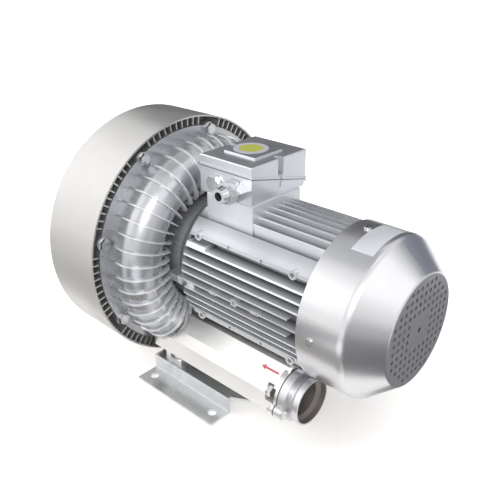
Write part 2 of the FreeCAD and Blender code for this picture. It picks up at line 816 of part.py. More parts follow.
def frame_fins():
    envelope = fin_envelope()
    t = fin_thickness / 2
    root = frame_bore + 3.0
    fins = []
    for i in range(-side_fins, side_fins + 1):
        z = fin_pitch * i
        inner = math.sqrt(root ** 2 - z ** 2)
        end = short_fin_end_x if abs(i) == 1 else frame_end_x - 2
        fins += both_sides(block(frame_front_x + 1, end, -fin_radius, -inner, z - t, z + t))
    for i in range(top_fins):
        y = fin_pitch * (i + 0.5)
        inner = math.sqrt(root ** 2 - y ** 2)
        fins += corner_copies(block(frame_front_x + 1, frame_end_x - 2, y - t, y + t, inner, fin_radius))
    return [fin.common(envelope) for fin in fins]


def frame_ledges():
    core = frame_bore + frame_wall - 1.5
    low = math.radians(40.0)
    high = math.radians(54.0)
    ledge = along_x(frame_front_x + 1, frame_end_x - 2, (-ledge_y, ledge_z), (-ledge_inner_y, ledge_inner_z),
                    (-core * math.cos(high), core * math.sin(high)),
                    (-core * math.cos(low), core * math.sin(low)),
                    (-ledge_y, ledge_z - ledge_edge))
    return corner_copies(ledge.common(fin_envelope()))


def rail_bosses(radius, start):
    """Bosses with side holes at the ends of the four ledges."""
    xs = [rail_boss_x, rail_boss_x + rail_boss_span]
    return [b for x in xs for b in corner_copies(rod_y(radius, -rail_boss_reach, -start, x, rail_boss_z))]


def side_bosses():
    """Pads and a square boss on the middle fin, and cast dots on the fins next to it."""
    tip, inner = fin_radius + 0.4, frame_bore + 2.0
    half, wide = side_pad_length / 2, side_pad_width / 2
    bosses = [block(x - half, x + half, -tip, -inner, -wide, wide) for x in side_pad_x]
    half = square_boss / 2
    bosses.append(block(square_boss_x - half, square_boss_x + half, -tip, -inner, -half, half))
    for row, places in fin_dot_x.items():
        z = fin_pitch * row
        reach = math.sqrt(fin_radius ** 2 - z ** 2) + 0.3
        bosses += [rod_y(fin_dot_radius, -reach, -inner * 0.97, x, s * z) for x in places for s in (-1, 1)]
    return [b for boss in bosses for b in both_sides(boss)]


def side_boss_holes():
    """The square hole of the middle boss and a small hole at the end of each pad."""
    half = square_hole / 2
    y0, y1 = -fin_radius - 1, side_hole_depth - fin_radius
    holes = [block(square_boss_x - half, square_boss_x + half, y0, y1, -half, half)]
    holes += [rod_y(side_hole_radius, y0, y1, x + side_pad_length / 2 - 2 * side_hole_radius, 0.0)
              for x in side_pad_x]
    return [h for hole in holes for h in both_sides(hole)]


def fin_bars():
    """A bar over the highest side fin behind the neck, with a shallow trough along its top."""
    bar = block(fin_bar_x0, fin_bar_x1, -fin_radius, -frame_bore + 6.0, fin_bar_z0, fin_bar_z1)
    bar = bar.common(fin_envelope())
    trough = block(fin_bar_x0 + 4.0, fin_bar_x1 - 4.0, -fin_radius + 15.0, -frame_bore + 4.0, fin_bar_z1 - 1.5,
                   fin_bar_z1 + 1.0)
    return both_sides(bar.cut(trough))


def motor_frame():
    core = rod_x(frame_bore + frame_wall, frame_front_x, frame_end_x)
    collar = rod_x(neck_flare_radius, frame_front_x, frame_front_x + frame_collar)
    pedestal = block(pedestal_x0, pedestal_x1, pedestal_y0, pedestal_y1, 50.0, pedestal_top)
    lugs = motor_lugs(frame_front_x, motor_lug_end_x) + motor_lugs(motor_pad_x0, motor_pad_x1)
    shield_lugs = [rod_x(7.5, frame_end_x - 16.0, frame_end_x, *spot(shield_bolt_radius, a))
                   for a in shield_bolt_angles()]
    bosses = rail_bosses(rail_boss_radius, 58.0) + side_bosses() + [collar, pedestal] + lugs + shield_lugs
    solid = core.fuse(frame_fins() + frame_ledges() + fin_bars() + bosses)
    cuts = [rod_x(frame_bore, frame_front_x - 1, frame_end_x + 1)]
    cuts += rail_bosses(2.8, rail_boss_reach - 12.0)
    cuts += side_boss_holes()
    cuts += motor_bolt_holes(motor_bolt_size / 2 + seat_gap, frame_front_x - 1, motor_lug_end_x + 1)
    cuts += [rod_x(2.6, frame_end_x - 14.0, frame_end_x + 1, *spot(shield_bolt_radius, a))
             for a in shield_bolt_angles()]
    room = block(motor_lug_end_x, motor_pad_x0, -7.5, 7.5, frame_bore + frame_wall - 1.5, fin_radius + 1.0)
    cuts += [spun(room, a) for a in motor_lug_angles()]
    cuts.append(rod_z(wire_hole_radius(), 0.0, pedestal_top + 1, *wire_hole_place()))
    edge = [rod_y(1.8, -ledge_y - 1, -ledge_y + 8.0, rail_boss_x + rail_boss_span * share, ledge_z - 2.6)
            for share in (0.33, 0.68)]
    cuts += [hole for e in edge for hole in corner_copies(e)]
    cuts += [rod_z(2.0, pedestal_top - 10.0, pedestal_top + 1, x, y) for x, y in box_screw_places()]
    return solid.cut(cuts)


def wire_hole_place():
    return (pedestal_x0 + pedestal_x1) / 2 + 8.0, -6.0


def wire_hole_radius():
    return 11.0


def motor_bolts():
    """Four bolts that hold the frame on the neck of the blower housing."""
    grip = motor_lug_end_x - housing_lug_x - 3.0
    bolts = [hex_bolt(motor_bolt_size, grip, FreeCAD.Vector(motor_lug_end_x, *spot(flange_lug_radius, a)),
                      FreeCAD.Vector(1, 0, 0)) for a in motor_lug_angles()]
    return group(bolts)


# Stator and rotor
def slot_angles():
    return [360.0 / slot_count * i for i in range(slot_count)]


def stator_core():
    ring = ring_x(frame_bore - fit_gap, stator_bore, core_x, core_end_x)
    half = slot_width / 2
    slot = block(core_x - 1, core_end_x + 1, -half, half, stator_bore - 1, stator_bore + slot_depth)
    return ring.cut([spun(slot, a) for a in slot_angles()])


def stator_winding():
    """Copper in the slots, joined by the rounded end turns at both ends."""
    low, high = stator_bore + 3.0, stator_bore + slot_depth + 6.0
    bar = block(core_x - 3, core_end_x + 3, -slot_width / 2 + 0.3, slot_width / 2 - 0.3,
                stator_bore + 3.0, stator_bore + slot_depth - 0.3)
    bars = [spun(bar, a) for a in slot_angles()]
    tip = core_x - overhang
    turns = turned((core_x - 1, low), (tip + 6, low), (tip, (low + high) / 2, tip + 6, high), (core_x - 1, high))
    middle = FreeCAD.Vector((core_x + core_end_x) / 2, 0, 0)
    other = turns.mirror(middle, FreeCAD.Vector(1, 0, 0))
    return turns.fuse([other] + bars)


def rotor_core():
    return ring_x(stator_bore - air_gap, shaft_core_radius + fit_gap, core_x, core_end_x)


def rotor_end_rings():
    """Cast end rings of the cage with short blades that stir the air inside the motor."""
    outer, inner = stator_bore - air_gap - 2.0, shaft_core_radius + 7.0
    ring = ring_x(outer, inner, core_end_x, core_end_x + end_ring_length)
    end = core_end_x + end_ring_length
    blade = block(end - 1, end + 9.0, -1.2, 1.2, inner + 2, outer - 2)
    ring = ring.fuse([spun(blade, 60.0 * i) for i in range(6)])
    middle = FreeCAD.Vector((core_x + core_end_x) / 2, 0, 0)
    return group([ring, ring.mirror(middle, FreeCAD.Vector(1, 0, 0))])


def shaft():
    front_end = front_bearing_x + front_bearing[2]
    tip = 2 * stage_mid_x - hub_front_x()
    body = turned((tip + fit_gap, 0), (tip + fit_gap, shaft_end_radius), (hub_front_x(), shaft_end_radius),
                  (hub_front_x(), front_bearing[0]), (front_end, front_bearing[0]),
                  (front_end, front_bearing[0] + 4.0), (core_x, shaft_core_radius),
                  (core_end_x, shaft_core_radius),
                  (rear_bearing_x, rear_bearing[0] + 4.0), (rear_bearing_x, rear_bearing[0]),
                  (rear_bearing_x + rear_bearing[2], rear_bearing[0]), (fan_x + fan_width + 2.0, rear_bearing[0]),
                  (fan_x + fan_width + 4.0, rear_bearing[0] - 1.5), (fan_x + fan_width + 4.0, 0))
    groove = ring_x(rear_bearing[0] + 1, rear_bearing[0] - 1.0, clip_x(), clip_x() + 1.3)
    return body.cut([rod_x(4.2, tip - 1, tip + 24.0), groove] + [key_block(x, 0.0) for x in key_places()])


def hub_front_x():
    """Front face of the first impeller's hub, where it seats on the shaft sleeve."""
    return land_x - 1.5


def clip_x():
    return fan_x + fan_width - 3.0


def key_places():
    first = joint_x + 2.0
    return [first, 2 * stage_mid_x - first - key_length]


def key_block(x, grow):
    half = key_width / 2 + grow
    low = shaft_end_radius - 4.0
    return block(x - grow, x + key_length + grow, -half, half, low, low + key_height + grow)


def impeller_keys():
    return group([key_block(x, 0.0) for x in key_places()])


# Bearings
def bearing_rings(size, x):
    """Outer and inner ring of a deep groove bearing, each with its ball track."""
    bore, outside, width = size
    pitch = (bore + outside) / 2
    ball = (outside - bore) * ball_share
    mid = x + width / 2
    shoulder = (outside - bore) * ring_share
    inner_top = bore + shoulder
    outer_low = outside - shoulder
    track = math.sqrt((ball + fit_gap) ** 2 - (pitch - inner_top) ** 2)
    inner = turned((x, bore + fit_gap), (x, inner_top), (mid - track, inner_top),
                   (mid, pitch - ball - fit_gap, mid + track, inner_top), (x + width, inner_top),
                   (x + width, bore + fit_gap))
    outer = turned((x, outside), (x, outer_low), (mid - track, outer_low),
                   (mid, pitch + ball + fit_gap, mid + track, outer_low), (x + width, outer_low),
                    (x + width, outside))
    return outer, inner


def ball_set(size, x):
    """The balls with the cage ring that spaces them."""
    bore, outside, width = size
    pitch = (bore + outside) / 2
    ball = (outside - bore) * ball_share
    mid = x + width / 2
    cage = ring_x(pitch + 1.4, pitch - 1.4, mid - ball - 1.2, mid + ball + 1.2)
    balls = [Part.makeSphere(ball, FreeCAD.Vector(mid, *spot(pitch, 360.0 / ball_count * i)))
             for i in range(ball_count)]
    pockets = [Part.makeSphere(ball + fit_gap, b.CenterOfMass) for b in balls]
    return cage.cut(pockets), balls


def shaft_seal():
    x0, x1 = seal_x, seal_x + seal_width
    lip = front_bearing[0] + fit_gap
    return turned((x0, seal_radius - fit_gap), (x1, seal_radius - fit_gap), (x1, seal_radius - 3.0),
                  (x0 + 2.0, seal_radius - 3.0), (x0 + 3.0, lip + 1.2), (x0 + 4.5, lip), (x0 + 2.2, lip),
                  (x0, lip + 2.0))


# Impellers
def impeller():
    """One impeller with its hub, disc and the vanes that stir the channel."""
    back = joint_x + 1.5
    vane_end = back + vane_length
    hub_back = joint_x + 0.7
    ring_in = channel_mean_radius - channel_radius + run_gap
    ring_out = ring_in + vane_ring_wall
    disc = turned((hub_back, shaft_end_radius + fit_gap), (hub_back, impeller_hub_radius),
                  (back, impeller_hub_radius), (back, impeller_radius), (back + impeller_disc, impeller_radius),
                  (back + impeller_disc, ring_out), (vane_end, ring_out), (vane_end, ring_in),
                  (land_x - 3.0, ring_in), (back + impeller_disc + 1.0, ring_in - 8.0),
                  (back + impeller_disc + 1.0, impeller_hub_radius + 2.0), (hub_front_x(), impeller_hub_radius),
                  (hub_front_x(), shaft_end_radius + fit_gap))
    vane = block(back + 1, vane_end, -vane_thickness / 2, vane_thickness / 2, ring_out - 1, impeller_radius - 0.1)
    wheel = disc.fuse([spun(vane, 360.0 / vane_count * i) for i in range(vane_count)])
    half = key_width / 2 + seat_gap
    key_end = key_places()[0] + key_length + seat_gap
    keyway = block(hub_back - 1, key_end, -half, half, 0.0, shaft_end_radius - 4.0 + key_height + seat_gap)
    return wheel.cut(keyway)


def impeller_spacer():
    return ring_x(spacer_radius, shaft_end_radius + fit_gap, 2 * stage_mid_x - joint_x - 0.7, joint_x + 0.7)


def impeller_washer():
    end = 2 * stage_mid_x - hub_front_x()
    return ring_x(spacer_radius, 5.2, end - 3.0, end)


def impeller_bolt():
    end = 2 * stage_mid_x - hub_front_x() - 3.0
    head = hexagon(15.0, 4.5, FreeCAD.Vector(end - 4.5, 0, 0), FreeCAD.Vector(1, 0, 0))
    return head.fuse(rod_x(4.0, end - 1, end + 24.0))


# Fan end
def shield_bolt_angles():
    return [45.0 + 90.0 * i for i in range(4)]


def cowl_screw_angles():
    return [90.0 * i for i in range(4)]


def rear_end_shield():
    """Carries the rear bearing, closes the frame and gives the cowl its four lugs."""
    x0, x1 = frame_end_x, frame_end_x + shield_thickness
    seat = rear_bearing[1] + fit_gap
    body = turned((x0 - 5.0, frame_bore - fit_gap), (x0, frame_bore - fit_gap), (x0, shield_radius),
                  (x0 + 7.0, shield_radius), (x0 + 9.0, shield_radius - 2.0),
                  (x0 + 9.0, shield_bolt_radius - 6.0), (x1, seat + 9.0), (x1, rear_bearing[0] + 2.0),
                  (x1 - 3.0, rear_bearing[0] + 2.0), (x1 - 3.0, seat), (rear_bearing_x, seat),
                  (rear_bearing_x, seat + 5.0), (x0, seat + 9.0), (x0, frame_bore - 8.0),
                  (x0 - 5.0, frame_bore - 6.0))
    body = spun(body, 112.0)
    reach = cowl_radius - cowl_wall - seat_gap
    lug = block(x0, cowl_screw_x + 6.0, -8.0, 8.0, shield_radius - 8.0, reach + 5.0)
    lug = lug.common(rod_x(reach, x0, cowl_screw_x + 6.0))
    lugs = [spun(lug, a) for a in cowl_screw_angles()]
    holes = [spun(rod_z(cowl_screw_size / 2, 75.0, 110.0, cowl_screw_x, 0.0), a) for a in cowl_screw_angles()]
    holes += [rod_x(shield_bolt_size / 2 + screw_gap, x0 - 1, x1 + 1, *spot(shield_bolt_radius, a))
              for a in shield_bolt_angles()]
    return body.fuse(lugs).cut(holes)


def end_shield_bolts():
    bolts = [hex_bolt(shield_bolt_size, 18.0, FreeCAD.Vector(frame_end_x + 9.0, *spot(shield_bolt_radius, a)),
                      FreeCAD.Vector(1, 0, 0)) for a in shield_bolt_angles()]
    return group(bolts)


def preload_washer():
    x0 = rear_bearing_x + rear_bearing[2] + seat_gap
    x1 = frame_end_x + shield_thickness - 3.0 - seat_gap
    return ring_x(rear_bearing[1] - 1.0, rear_bearing[1] - 4.5, x0, x1)


def cowl_solid(wall):
    """The cowl's outer form, drawn in by a wall."""
    r, g, end = cowl_radius - wall, grille_radius - wall * 0.6, cowl_end_x - wall
    body = turned((cowl_front_x - wall, 0), (cowl_front_x - wall, r), (cowl_shoulder_x, r), (end, g), (end, 0))
    shoulder = [e for e in body.Edges if abs(e.CenterOfMass.x - cowl_shoulder_x) < 0.01 and e.Length > 100]
    rim = [e for e in body.Edges if abs(e.CenterOfMass.x - end) < 0.01 and abs(e.Length - 2 * math.pi * g) < 1.0]
    return body.makeFillet(12.0 - wall, shoulder).makeFillet(4.0 - wall, rim)


def grille_places():
    """A square grid of holes in the end disc, with a plain middle."""
    half = int(grille_outer / grille_pitch) + 1
    steps = [(i + 0.5) * grille_pitch for i in range(-half, half)]
    return [(y, z) for y in steps for z in steps if grille_inner < math.hypot(y, z) < grille_outer]


def fan_cowl():
    shell = cowl_solid(0.0).cut(cowl_solid(cowl_wall))
    h = grille_hole * math.sqrt(0.5)
    x0, x1 = cowl_end_x - 6.0, cowl_end_x + 1.0
    holes = [along_x(x0, x1, (y - h, z), (y, z - h), (y + h, z), (y, z + h)) for y, z in grille_places()]
    holes.append(rod_x(3.0, x0, x1))
    holes += [spun(rod_z(cowl_screw_size / 2, 90.0, 110.0, cowl_screw_x, 0.0), a) for a in cowl_screw_angles()]
    return shell.cut(holes)


def cowl_screws():
    head = Part.makeCylinder(cowl_screw_size * 0.85, 2.2, FreeCAD.Vector(cowl_screw_x, 0, cowl_radius))
    slot = block(cowl_screw_x - 6, cowl_screw_x + 6, -0.5, 0.5, cowl_radius + 1.2, cowl_radius + 3.0)
    shank = rod_z(cowl_screw_size / 2 - screw_gap, cowl_radius - 12.0, cowl_radius + 1.0, cowl_screw_x, 0.0)
    screw = head.fuse(shank).cut(slot)
    return group([spun(screw, a) for a in cowl_screw_angles()])


def cooling_fan():
    x0, x1 = fan_x, fan_x + fan_width
    hub = ring_x(fan_hub_radius, rear_bearing[0] + fit_gap, x0, clip_x() - fit_gap)
    disc = ring_x(fan_radius * 0.8, fan_hub_radius - 1, x0, x0 + 3.0)
    blade = plate(2.5, (x0 + 1, fan_hub_radius - 1), (x1, fan_hub_radius - 1), (x1, fan_radius - 10.0),
                  (x1 - 6.0, fan_radius), (x0 + 4.0, fan_radius), (x0 + 1, fan_radius * 0.8 - 1))
    return hub.fuse([disc] + [spun(blade, 360.0 / fan_blades * i) for i in range(fan_blades)])


def fan_clip():
    ring = ring_x(rear_bearing[0] + 3.0, rear_bearing[0] - 1.0 + fit_gap, clip_x() + 0.05, clip_x() + 1.25)
    return ring.cut(block(clip_x() - 1, clip_x() + 3, -3.0, 3.0, 0.0, 30.0))


# Terminal box
def seam_height(y):
    return box_front_seam + (y - box_y0) * seam_slope


def seam_slab(x0, x1, y0, y1, low, high):
    """A slab that follows the slanted joint between the box and its lid."""
    return along_x(x0, x1, (y0, seam_height(y0) + low), (y1, seam_height(y1) + low),
                   (y1, seam_height(y1) + high), (y0, seam_height(y0) + high))


def box_screw_places():
    middle = (pedestal_x0 + pedestal_x1) / 2
    return [(middle + sx * box_screw_x, box_screw_y0 + sy * box_screw_y) for sx in (-1, 1) for sy in (-1, 1)]


def lid_groove_tails():
    """Narrow grooves that run from the screw pockets down over the joint."""
    faces = (box_x0 - 0.5, box_x1 + 0.5)
    return [rod_z(groove_tail, groove_low, groove_floor + 1, x, lid_screw_y) for x in faces]


def lid_screw_places():
    return [(box_x0 + lid_screw_inset, lid_screw_y), (box_x1 - lid_screw_inset, lid_screw_y)]


def terminal_box_base():
    outer = along_x(box_x0, box_x1, (box_y0, pedestal_top), (box_y1, pedestal_top), (box_y1, seam_height(box_y1)),
                    (box_y0, seam_height(box_y0)))
    rim = seam_slab(box_x0 - 1.0, box_x1 + 1.0, box_y0 - 1.0, box_y1 + box_rim_reach, -box_rim, 0.0)
    w = box_wall
    room = along_x(box_x0 + w, box_x1 - w, (box_y0 + w, pedestal_top + w), (box_y1 - w, pedestal_top + w),
                   (box_y1 - w, 160.0), (box_y0 + w, 160.0))
    posts = [rod_z(5.0, pedestal_top + 1, seam_height(y), x, y) for x, y in lid_screw_places()]
    posts = [post.common(block(box_x0, box_x1, -20, 20, pedestal_top, 160.0)) for post in posts]
    below = seam_slab(box_x0, box_x1, box_y0, box_y1, -60.0, 0.0)
    posts = [post.common(below) for post in posts]
    cuts = [rod_z(2.1, pedestal_top + 6, 150.0, x, y) for x, y in lid_screw_places()]
    cuts += [rod_z(2.3, pedestal_top - 1, pedestal_top + w + 1, x, y) for x, y in box_screw_places()]
    cuts.append(rod_z(wire_hole_radius(), pedestal_top - 1, pedestal_top + w + 1, *wire_hole_place()))
    cuts += [rod_y(gland_thread_radius + 0.1, box_y0 - 2, box_y0 + w + 1, x, gland_z) for x in (gland_x, plug_x)]
    return outer.fuse(rim).cut(room).fuse(posts).cut(cuts + lid_groove_tails())


def terminal_box_gasket():
    slab = seam_slab(box_x0, box_x1, box_y0, box_y1 + 2.0, 0.0, box_gasket)
    inner = seam_slab(box_x0 + box_wall, box_x1 - box_wall, box_y0 + box_wall, box_y1 - box_wall, -1.0, 3.0)
    pads = group([rod_z(groove_radius + 2.5, 100.0, 150.0, x, y) for x, y in lid_screw_places()])
    holes = [rod_z(2.7, 100.0, 150.0, x, y) for x, y in lid_screw_places()] + lid_groove_tails()
    return slab.cut(inner).fuse(slab.common(pads)).cut(holes).removeSplitter()


def terminal_box_lid():
    y1 = lid_y1
    low = [seam_height(y) + box_gasket for y in (box_y0, y1)]
    outer = along_x(box_x0, box_x1, (box_y0, low[0]), (y1, low[1]), (y1, lid_top), (box_y0, lid_top))
    top_edges = [e for e in outer.Edges if abs(e.CenterOfMass.z - lid_top) < 0.01]
    outer = outer.makeFillet(1.5, top_edges)
    rim = seam_slab(box_x0 - 1.0, box_x1 + 1.0, box_y0 - 1.0, box_y1 + box_rim_reach, box_gasket,
                    box_gasket + box_rim)
    w = box_wall
    room = along_x(box_x0 + w, box_x1 - w, (box_y0 + w, seam_height(box_y0 + w) - 1.0),
                   (box_y1 - w, seam_height(box_y1 - w) - 1.0), (box_y1 - w, lid_top - w),
                   (box_y0 + w, lid_top - w))
    middle_x, pad = (box_x0 + box_x1) / 2, lid_pad_half
    raised = block(middle_x - pad, middle_x + pad, -pad - 1.0, pad - 1.0, lid_top - 1, lid_top + lid_pad)
    raised_edges = [e for e in raised.Edges if abs(e.CenterOfMass.z - lid_top - lid_pad) < 0.01]
    raised = raised.makeFillet(0.5, raised_edges)
    posts = [rod_z(groove_radius + 2.5, seam_height(y) + box_gasket, lid_top - 1, x, y)
             for x, y in lid_screw_places()]
    above = seam_slab(box_x0, box_x1, box_y0, y1, box_gasket, 60.0)
    inside = block(box_x0, box_x1, -40, 40, 100.0, lid_top - 1)
    posts = [post.common(above).common(inside) for post in posts]
    cuts = [rod_z(groove_radius, groove_floor, lid_top + 1, x, y) for x, y in lid_screw_places()]
    cuts += [block(x - 5.0 if x < 40 else x, x if x < 40 else x + 5.0, y - groove_radius, y + groove_radius,
                   groove_floor, lid_top + 1) for x, y in lid_screw_places()]
    cuts += [rod_z(2.7, 100.0, groove_floor + 1, x, y) for x, y in lid_screw_places()]
    return outer.fuse([rim, raised]).cut(room).fuse(posts).cut(cuts + lid_groove_tails())


def lid_screws():
    screws = []
    for x, y in lid_screw_places():
        head = rod_z(lid_screw_size * 0.85, groove_floor, groove_floor + 3.5, x, y)
        slot = block(x - 5, x + 5, y - 0.6, y + 0.6, groove_floor + 2.0, groove_floor + 4.0)
        screws.append(head.fuse(rod_z(2.0, pedestal_top + 8.0, groove_floor + 1, x, y)).cut(slot))
    return group(screws)


def box_screws():
    floor = pedestal_top + box_wall
    screws = [rod_z(4.2, floor, floor + 3.0, x, y).fuse(rod_z(1.9, floor - 10.0, floor + 1, x, y))
              for x, y in box_screw_places()]
    return group(screws)


def board_place():
    return 38.0, -12.0, pedestal_top + box_wall


def terminal_board():
    x, y, z = board_place()
    body = block(x - 16, x + 16, y - 14, y + 14, z, z + 9.0)
    ridges = [block(x - 16, x + 16, y + s - 0.8, y + s + 0.8, z + 8, z + 13.0) for s in (-14 + 0.8, 0.0, 14 - 0.8)]
    holes = [rod_z(2.1, z - 1, z + 10.0, px, py) for px, py in stud_places()]
    return body.fuse(ridges).cut(holes)


def stud_places():
    x, y, z = board_place()
    return [(x + i * 10.0, y + j * 7.0) for i in (-1, 0, 1) for j in (-1, 1)]


def terminal_studs():
    z = board_place()[2]
    studs = []
    for x, y in stud_places():
        nut = hexagon(6.0, 2.8, FreeCAD.Vector(x, y, z + 9.8), FreeCAD.Vector(0, 0, 1))
        studs.append(rod_z(1.9, z + 0.5, z + 18.0, x, y).fuse(nut))
    return group(studs)


def terminal_links():
    """Flat links that join the studs across the board in pairs."""
    x, y, z = board_place()
    links = []
    for i in (-1, 0, 1):
        link = block(x + i * 10.0 - 3.2, x + i * 10.0 + 3.2, y - 10.0, y - 3.0, z + 9.0, z + 9.8)
        links.append(link.cut(rod_z(2.1, z + 8, z + 11, x + i * 10.0, y - 7.0)))
    return group(links)


# Cable gland
def cable_gland():
    face = box_y0
    base = hexagon(gland_hex, gland_body, FreeCAD.Vector(gland_x, face, gland_z), FreeCAD.Vector(0, -1, 0))
    thread = rod_y(gland_thread_radius, face - 1, face + box_wall + 6.0, gland_x, gland_z)
    neck = rod_y(gland_thread_radius, face - gland_body - gland_nut + 3.0, face - gland_body + 1, gland_x, gland_z)
    bore = rod_y(6.5, face - 60, face + 30, gland_x, gland_z)
    return base.fuse([thread, neck]).cut(bore)


def gland_nut_piece():
    """The clamping nut, six-sided at the foot and domed towards the cable."""
    start = box_y0 - gland_body
    nut = hexagon(gland_hex - 1.0, gland_nut, FreeCAD.Vector(gland_x, start, gland_z), FreeCAD.Vector(0, -1, 0))
    nose = Part.makeCone(gland_hex / 2 - 1.0, gland_nose_radius, gland_nose,
                         FreeCAD.Vector(gland_x, start - gland_nut, gland_z), FreeCAD.Vector(0, -1, 0))
    room = rod_y(gland_thread_radius + 0.1, start - gland_nut + 2.5, start + 1, gland_x, gland_z)
    tip = start - gland_nut - gland_nose
    seat = rod_y(7.0, tip + gland_lip, start, gland_x, gland_z)
    mouth = rod_y(gland_mouth, tip - 1, start, gland_x, gland_z)
    return nut.fuse(nose).cut([room, seat, mouth])


def gland_seal():
    start = box_y0 - gland_body - gland_nut
    ring = rod_y(6.8, start - gland_nose + gland_lip + seat_gap, start + 2.0, gland_x, gland_z)
    return ring.cut(rod_y(gland_bore, start - 60, start + 30, gland_x, gland_z))


def gland_locknut():
    face = box_y0 + box_wall
    nut = hexagon(gland_hex, 4.0, FreeCAD.Vector(gland_x, face, gland_z), FreeCAD.Vector(0, 1, 0))
    return nut.cut(rod_y(gland_thread_radius + 0.1, face - 1, face + 6, gland_x, gland_z))


def blanking_plug():
    """A screw plug with a low flange and a small six-sided head."""
    face = box_y0
    flange = rod_y(plug_radius, face - 1.8, face, plug_x, gland_z)
    head = hexagon(plug_hex, plug_head, FreeCAD.Vector(plug_x, face, gland_z), FreeCAD.Vector(0, -1, 0))
    dome = Part.makeSphere(plug_head * 2.2, FreeCAD.Vector(plug_x, face + plug_head * 0.7, gland_z))
    thread = rod_y(gland_thread_radius, face - 1, face + box_wall + 3.0, plug_x, gland_z)
    return flange.fuse([head.common(dome), thread])


def main():
    os.makedirs("parts", exist_ok=True)
    save("base_plate", base_plate())
    save("base_bolts", base_bolts())
    save("base_nuts", base_nuts())
    save("blower_housing", blower_housing())
    save("intermediate_ring", intermediate_ring())
    save("rear_cover", rear_cover())
    save("cover_bolts", cover_bolts())
    silencer, foam, port = visible_silencer(), silencer_foam(), spigot()
    gasket = spigot_gasket_ring()
    save("inlet_silencer", silencer)
    save("outlet_silencer", mirrored_y(silencer))
    save("inlet_silencer_foam", foam)
    save("outlet_silencer_foam", mirrored_y(foam))
    save("inlet_spigot", port)
    save("outlet_spigot", mirrored_y(port))
    save("inlet_gasket", gasket)
    save("outlet_gasket", mirrored_y(gasket))
    save("spigot_bolts", spigot_bolts())
    save("silencer_tie_bolts", tie_bolts())
    save("motor_frame", motor_frame())
    save("motor_bolts", motor_bolts())
    save("stator_core", stator_core())
    save("stator_winding", stator_winding())
    save("rotor_core", rotor_core())
    save("rotor_end_rings", rotor_end_rings())
    save("rotor_shaft", shaft())
    for name, size, x in (("front", front_bearing, front_bearing_x), ("rear", rear_bearing, rear_bearing_x)):
        outer, inner = bearing_rings(size, x)
        cage, balls = ball_set(size, x)
        save(name + "_bearing_outer_ring", outer)
        save(name + "_bearing_inner_ring", inner)
        save(name + "_bearing_cage", cage)
        save(name + "_bearing_balls", group(balls))
    save("shaft_seal", shaft_seal())
    wheel = impeller()
    save("impeller_1", wheel)
    save("impeller_2", mirrored_stage(wheel))
    save("impeller_spacer", impeller_spacer())
    save("impeller_washer", impeller_washer())
    save("impeller_bolt", impeller_bolt())
    save("impeller_keys", impeller_keys())
    save("rear_end_shield", rear_end_shield())
    save("end_shield_bolts", end_shield_bolts())
    save("preload_washer", preload_washer())
    save("fan_cowl", fan_cowl())
    save("cowl_screws", cowl_screws())
    save("cooling_fan", cooling_fan())
    save("fan_clip", fan_clip())
    save("terminal_box_base", terminal_box_base())
    save("terminal_box_gasket", terminal_box_gasket())
    save("terminal_box_lid", terminal_box_lid())
    save("lid_screws", lid_screws())
    save("box_screws", box_screws())
    save("terminal_board", terminal_board())
    save("terminal_studs", terminal_studs())
    save("terminal_links", terminal_links())
    save("gland_body", cable_gland())
    save("gland_dome_nut", gland_nut_piece())
    save("gland_seal", gland_seal())
    save("gland_locknut", gland_locknut())
    save("blanking_plug", blanking_plug())


main()
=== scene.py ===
import json
import math
import bmesh
import bpy
from mathutils import Matrix, Vector


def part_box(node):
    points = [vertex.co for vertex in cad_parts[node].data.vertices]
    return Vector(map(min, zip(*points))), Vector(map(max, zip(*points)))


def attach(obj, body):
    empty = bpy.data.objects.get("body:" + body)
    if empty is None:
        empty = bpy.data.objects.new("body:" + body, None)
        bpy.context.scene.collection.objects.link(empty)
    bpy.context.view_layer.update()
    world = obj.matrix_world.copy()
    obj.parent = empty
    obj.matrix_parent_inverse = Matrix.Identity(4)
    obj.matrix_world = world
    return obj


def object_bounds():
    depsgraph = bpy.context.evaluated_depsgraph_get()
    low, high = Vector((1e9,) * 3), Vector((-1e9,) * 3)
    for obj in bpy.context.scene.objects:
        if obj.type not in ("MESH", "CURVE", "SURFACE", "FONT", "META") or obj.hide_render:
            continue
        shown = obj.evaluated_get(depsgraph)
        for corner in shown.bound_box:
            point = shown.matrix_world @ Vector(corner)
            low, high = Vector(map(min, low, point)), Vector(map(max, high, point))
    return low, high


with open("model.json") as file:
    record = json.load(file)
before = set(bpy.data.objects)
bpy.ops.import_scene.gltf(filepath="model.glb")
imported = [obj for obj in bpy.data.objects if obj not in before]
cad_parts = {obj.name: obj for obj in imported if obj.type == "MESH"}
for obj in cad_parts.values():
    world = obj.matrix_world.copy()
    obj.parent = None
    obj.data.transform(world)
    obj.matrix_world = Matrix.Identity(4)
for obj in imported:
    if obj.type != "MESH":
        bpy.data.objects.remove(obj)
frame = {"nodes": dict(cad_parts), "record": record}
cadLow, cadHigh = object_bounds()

print("frame loaded")
nodes = frame["nodes"]
slotOfNode = {s["node"]: s["material_slot"] for s in frame["record"]["subparts"]}
cowlLow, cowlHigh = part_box("fan_cowl")
shaftZ = (cowlLow.z + cowlHigh.z) / 2


# Shader groups
def newGroup(name, inputs, outputs):
    tree = bpy.data.node_groups.new(name, "ShaderNodeTree")
    for direction, sockets in (("INPUT", inputs), ("OUTPUT", outputs)):
        for label, kind in sockets:
            tree.interface.new_socket(name=label, in_out=direction, socket_type=kind)
    return tree, tree.nodes.new("NodeGroupInput"), tree.nodes.new("NodeGroupOutput")


def setOrLink(tree, socket, value):
    # a number or a colour is set, another node's output is linked
    if isinstance(value, (int, float, tuple)):
        socket.default_value = value
    else:
        tree.links.new(value, socket)


noiseRoughness = 0.55


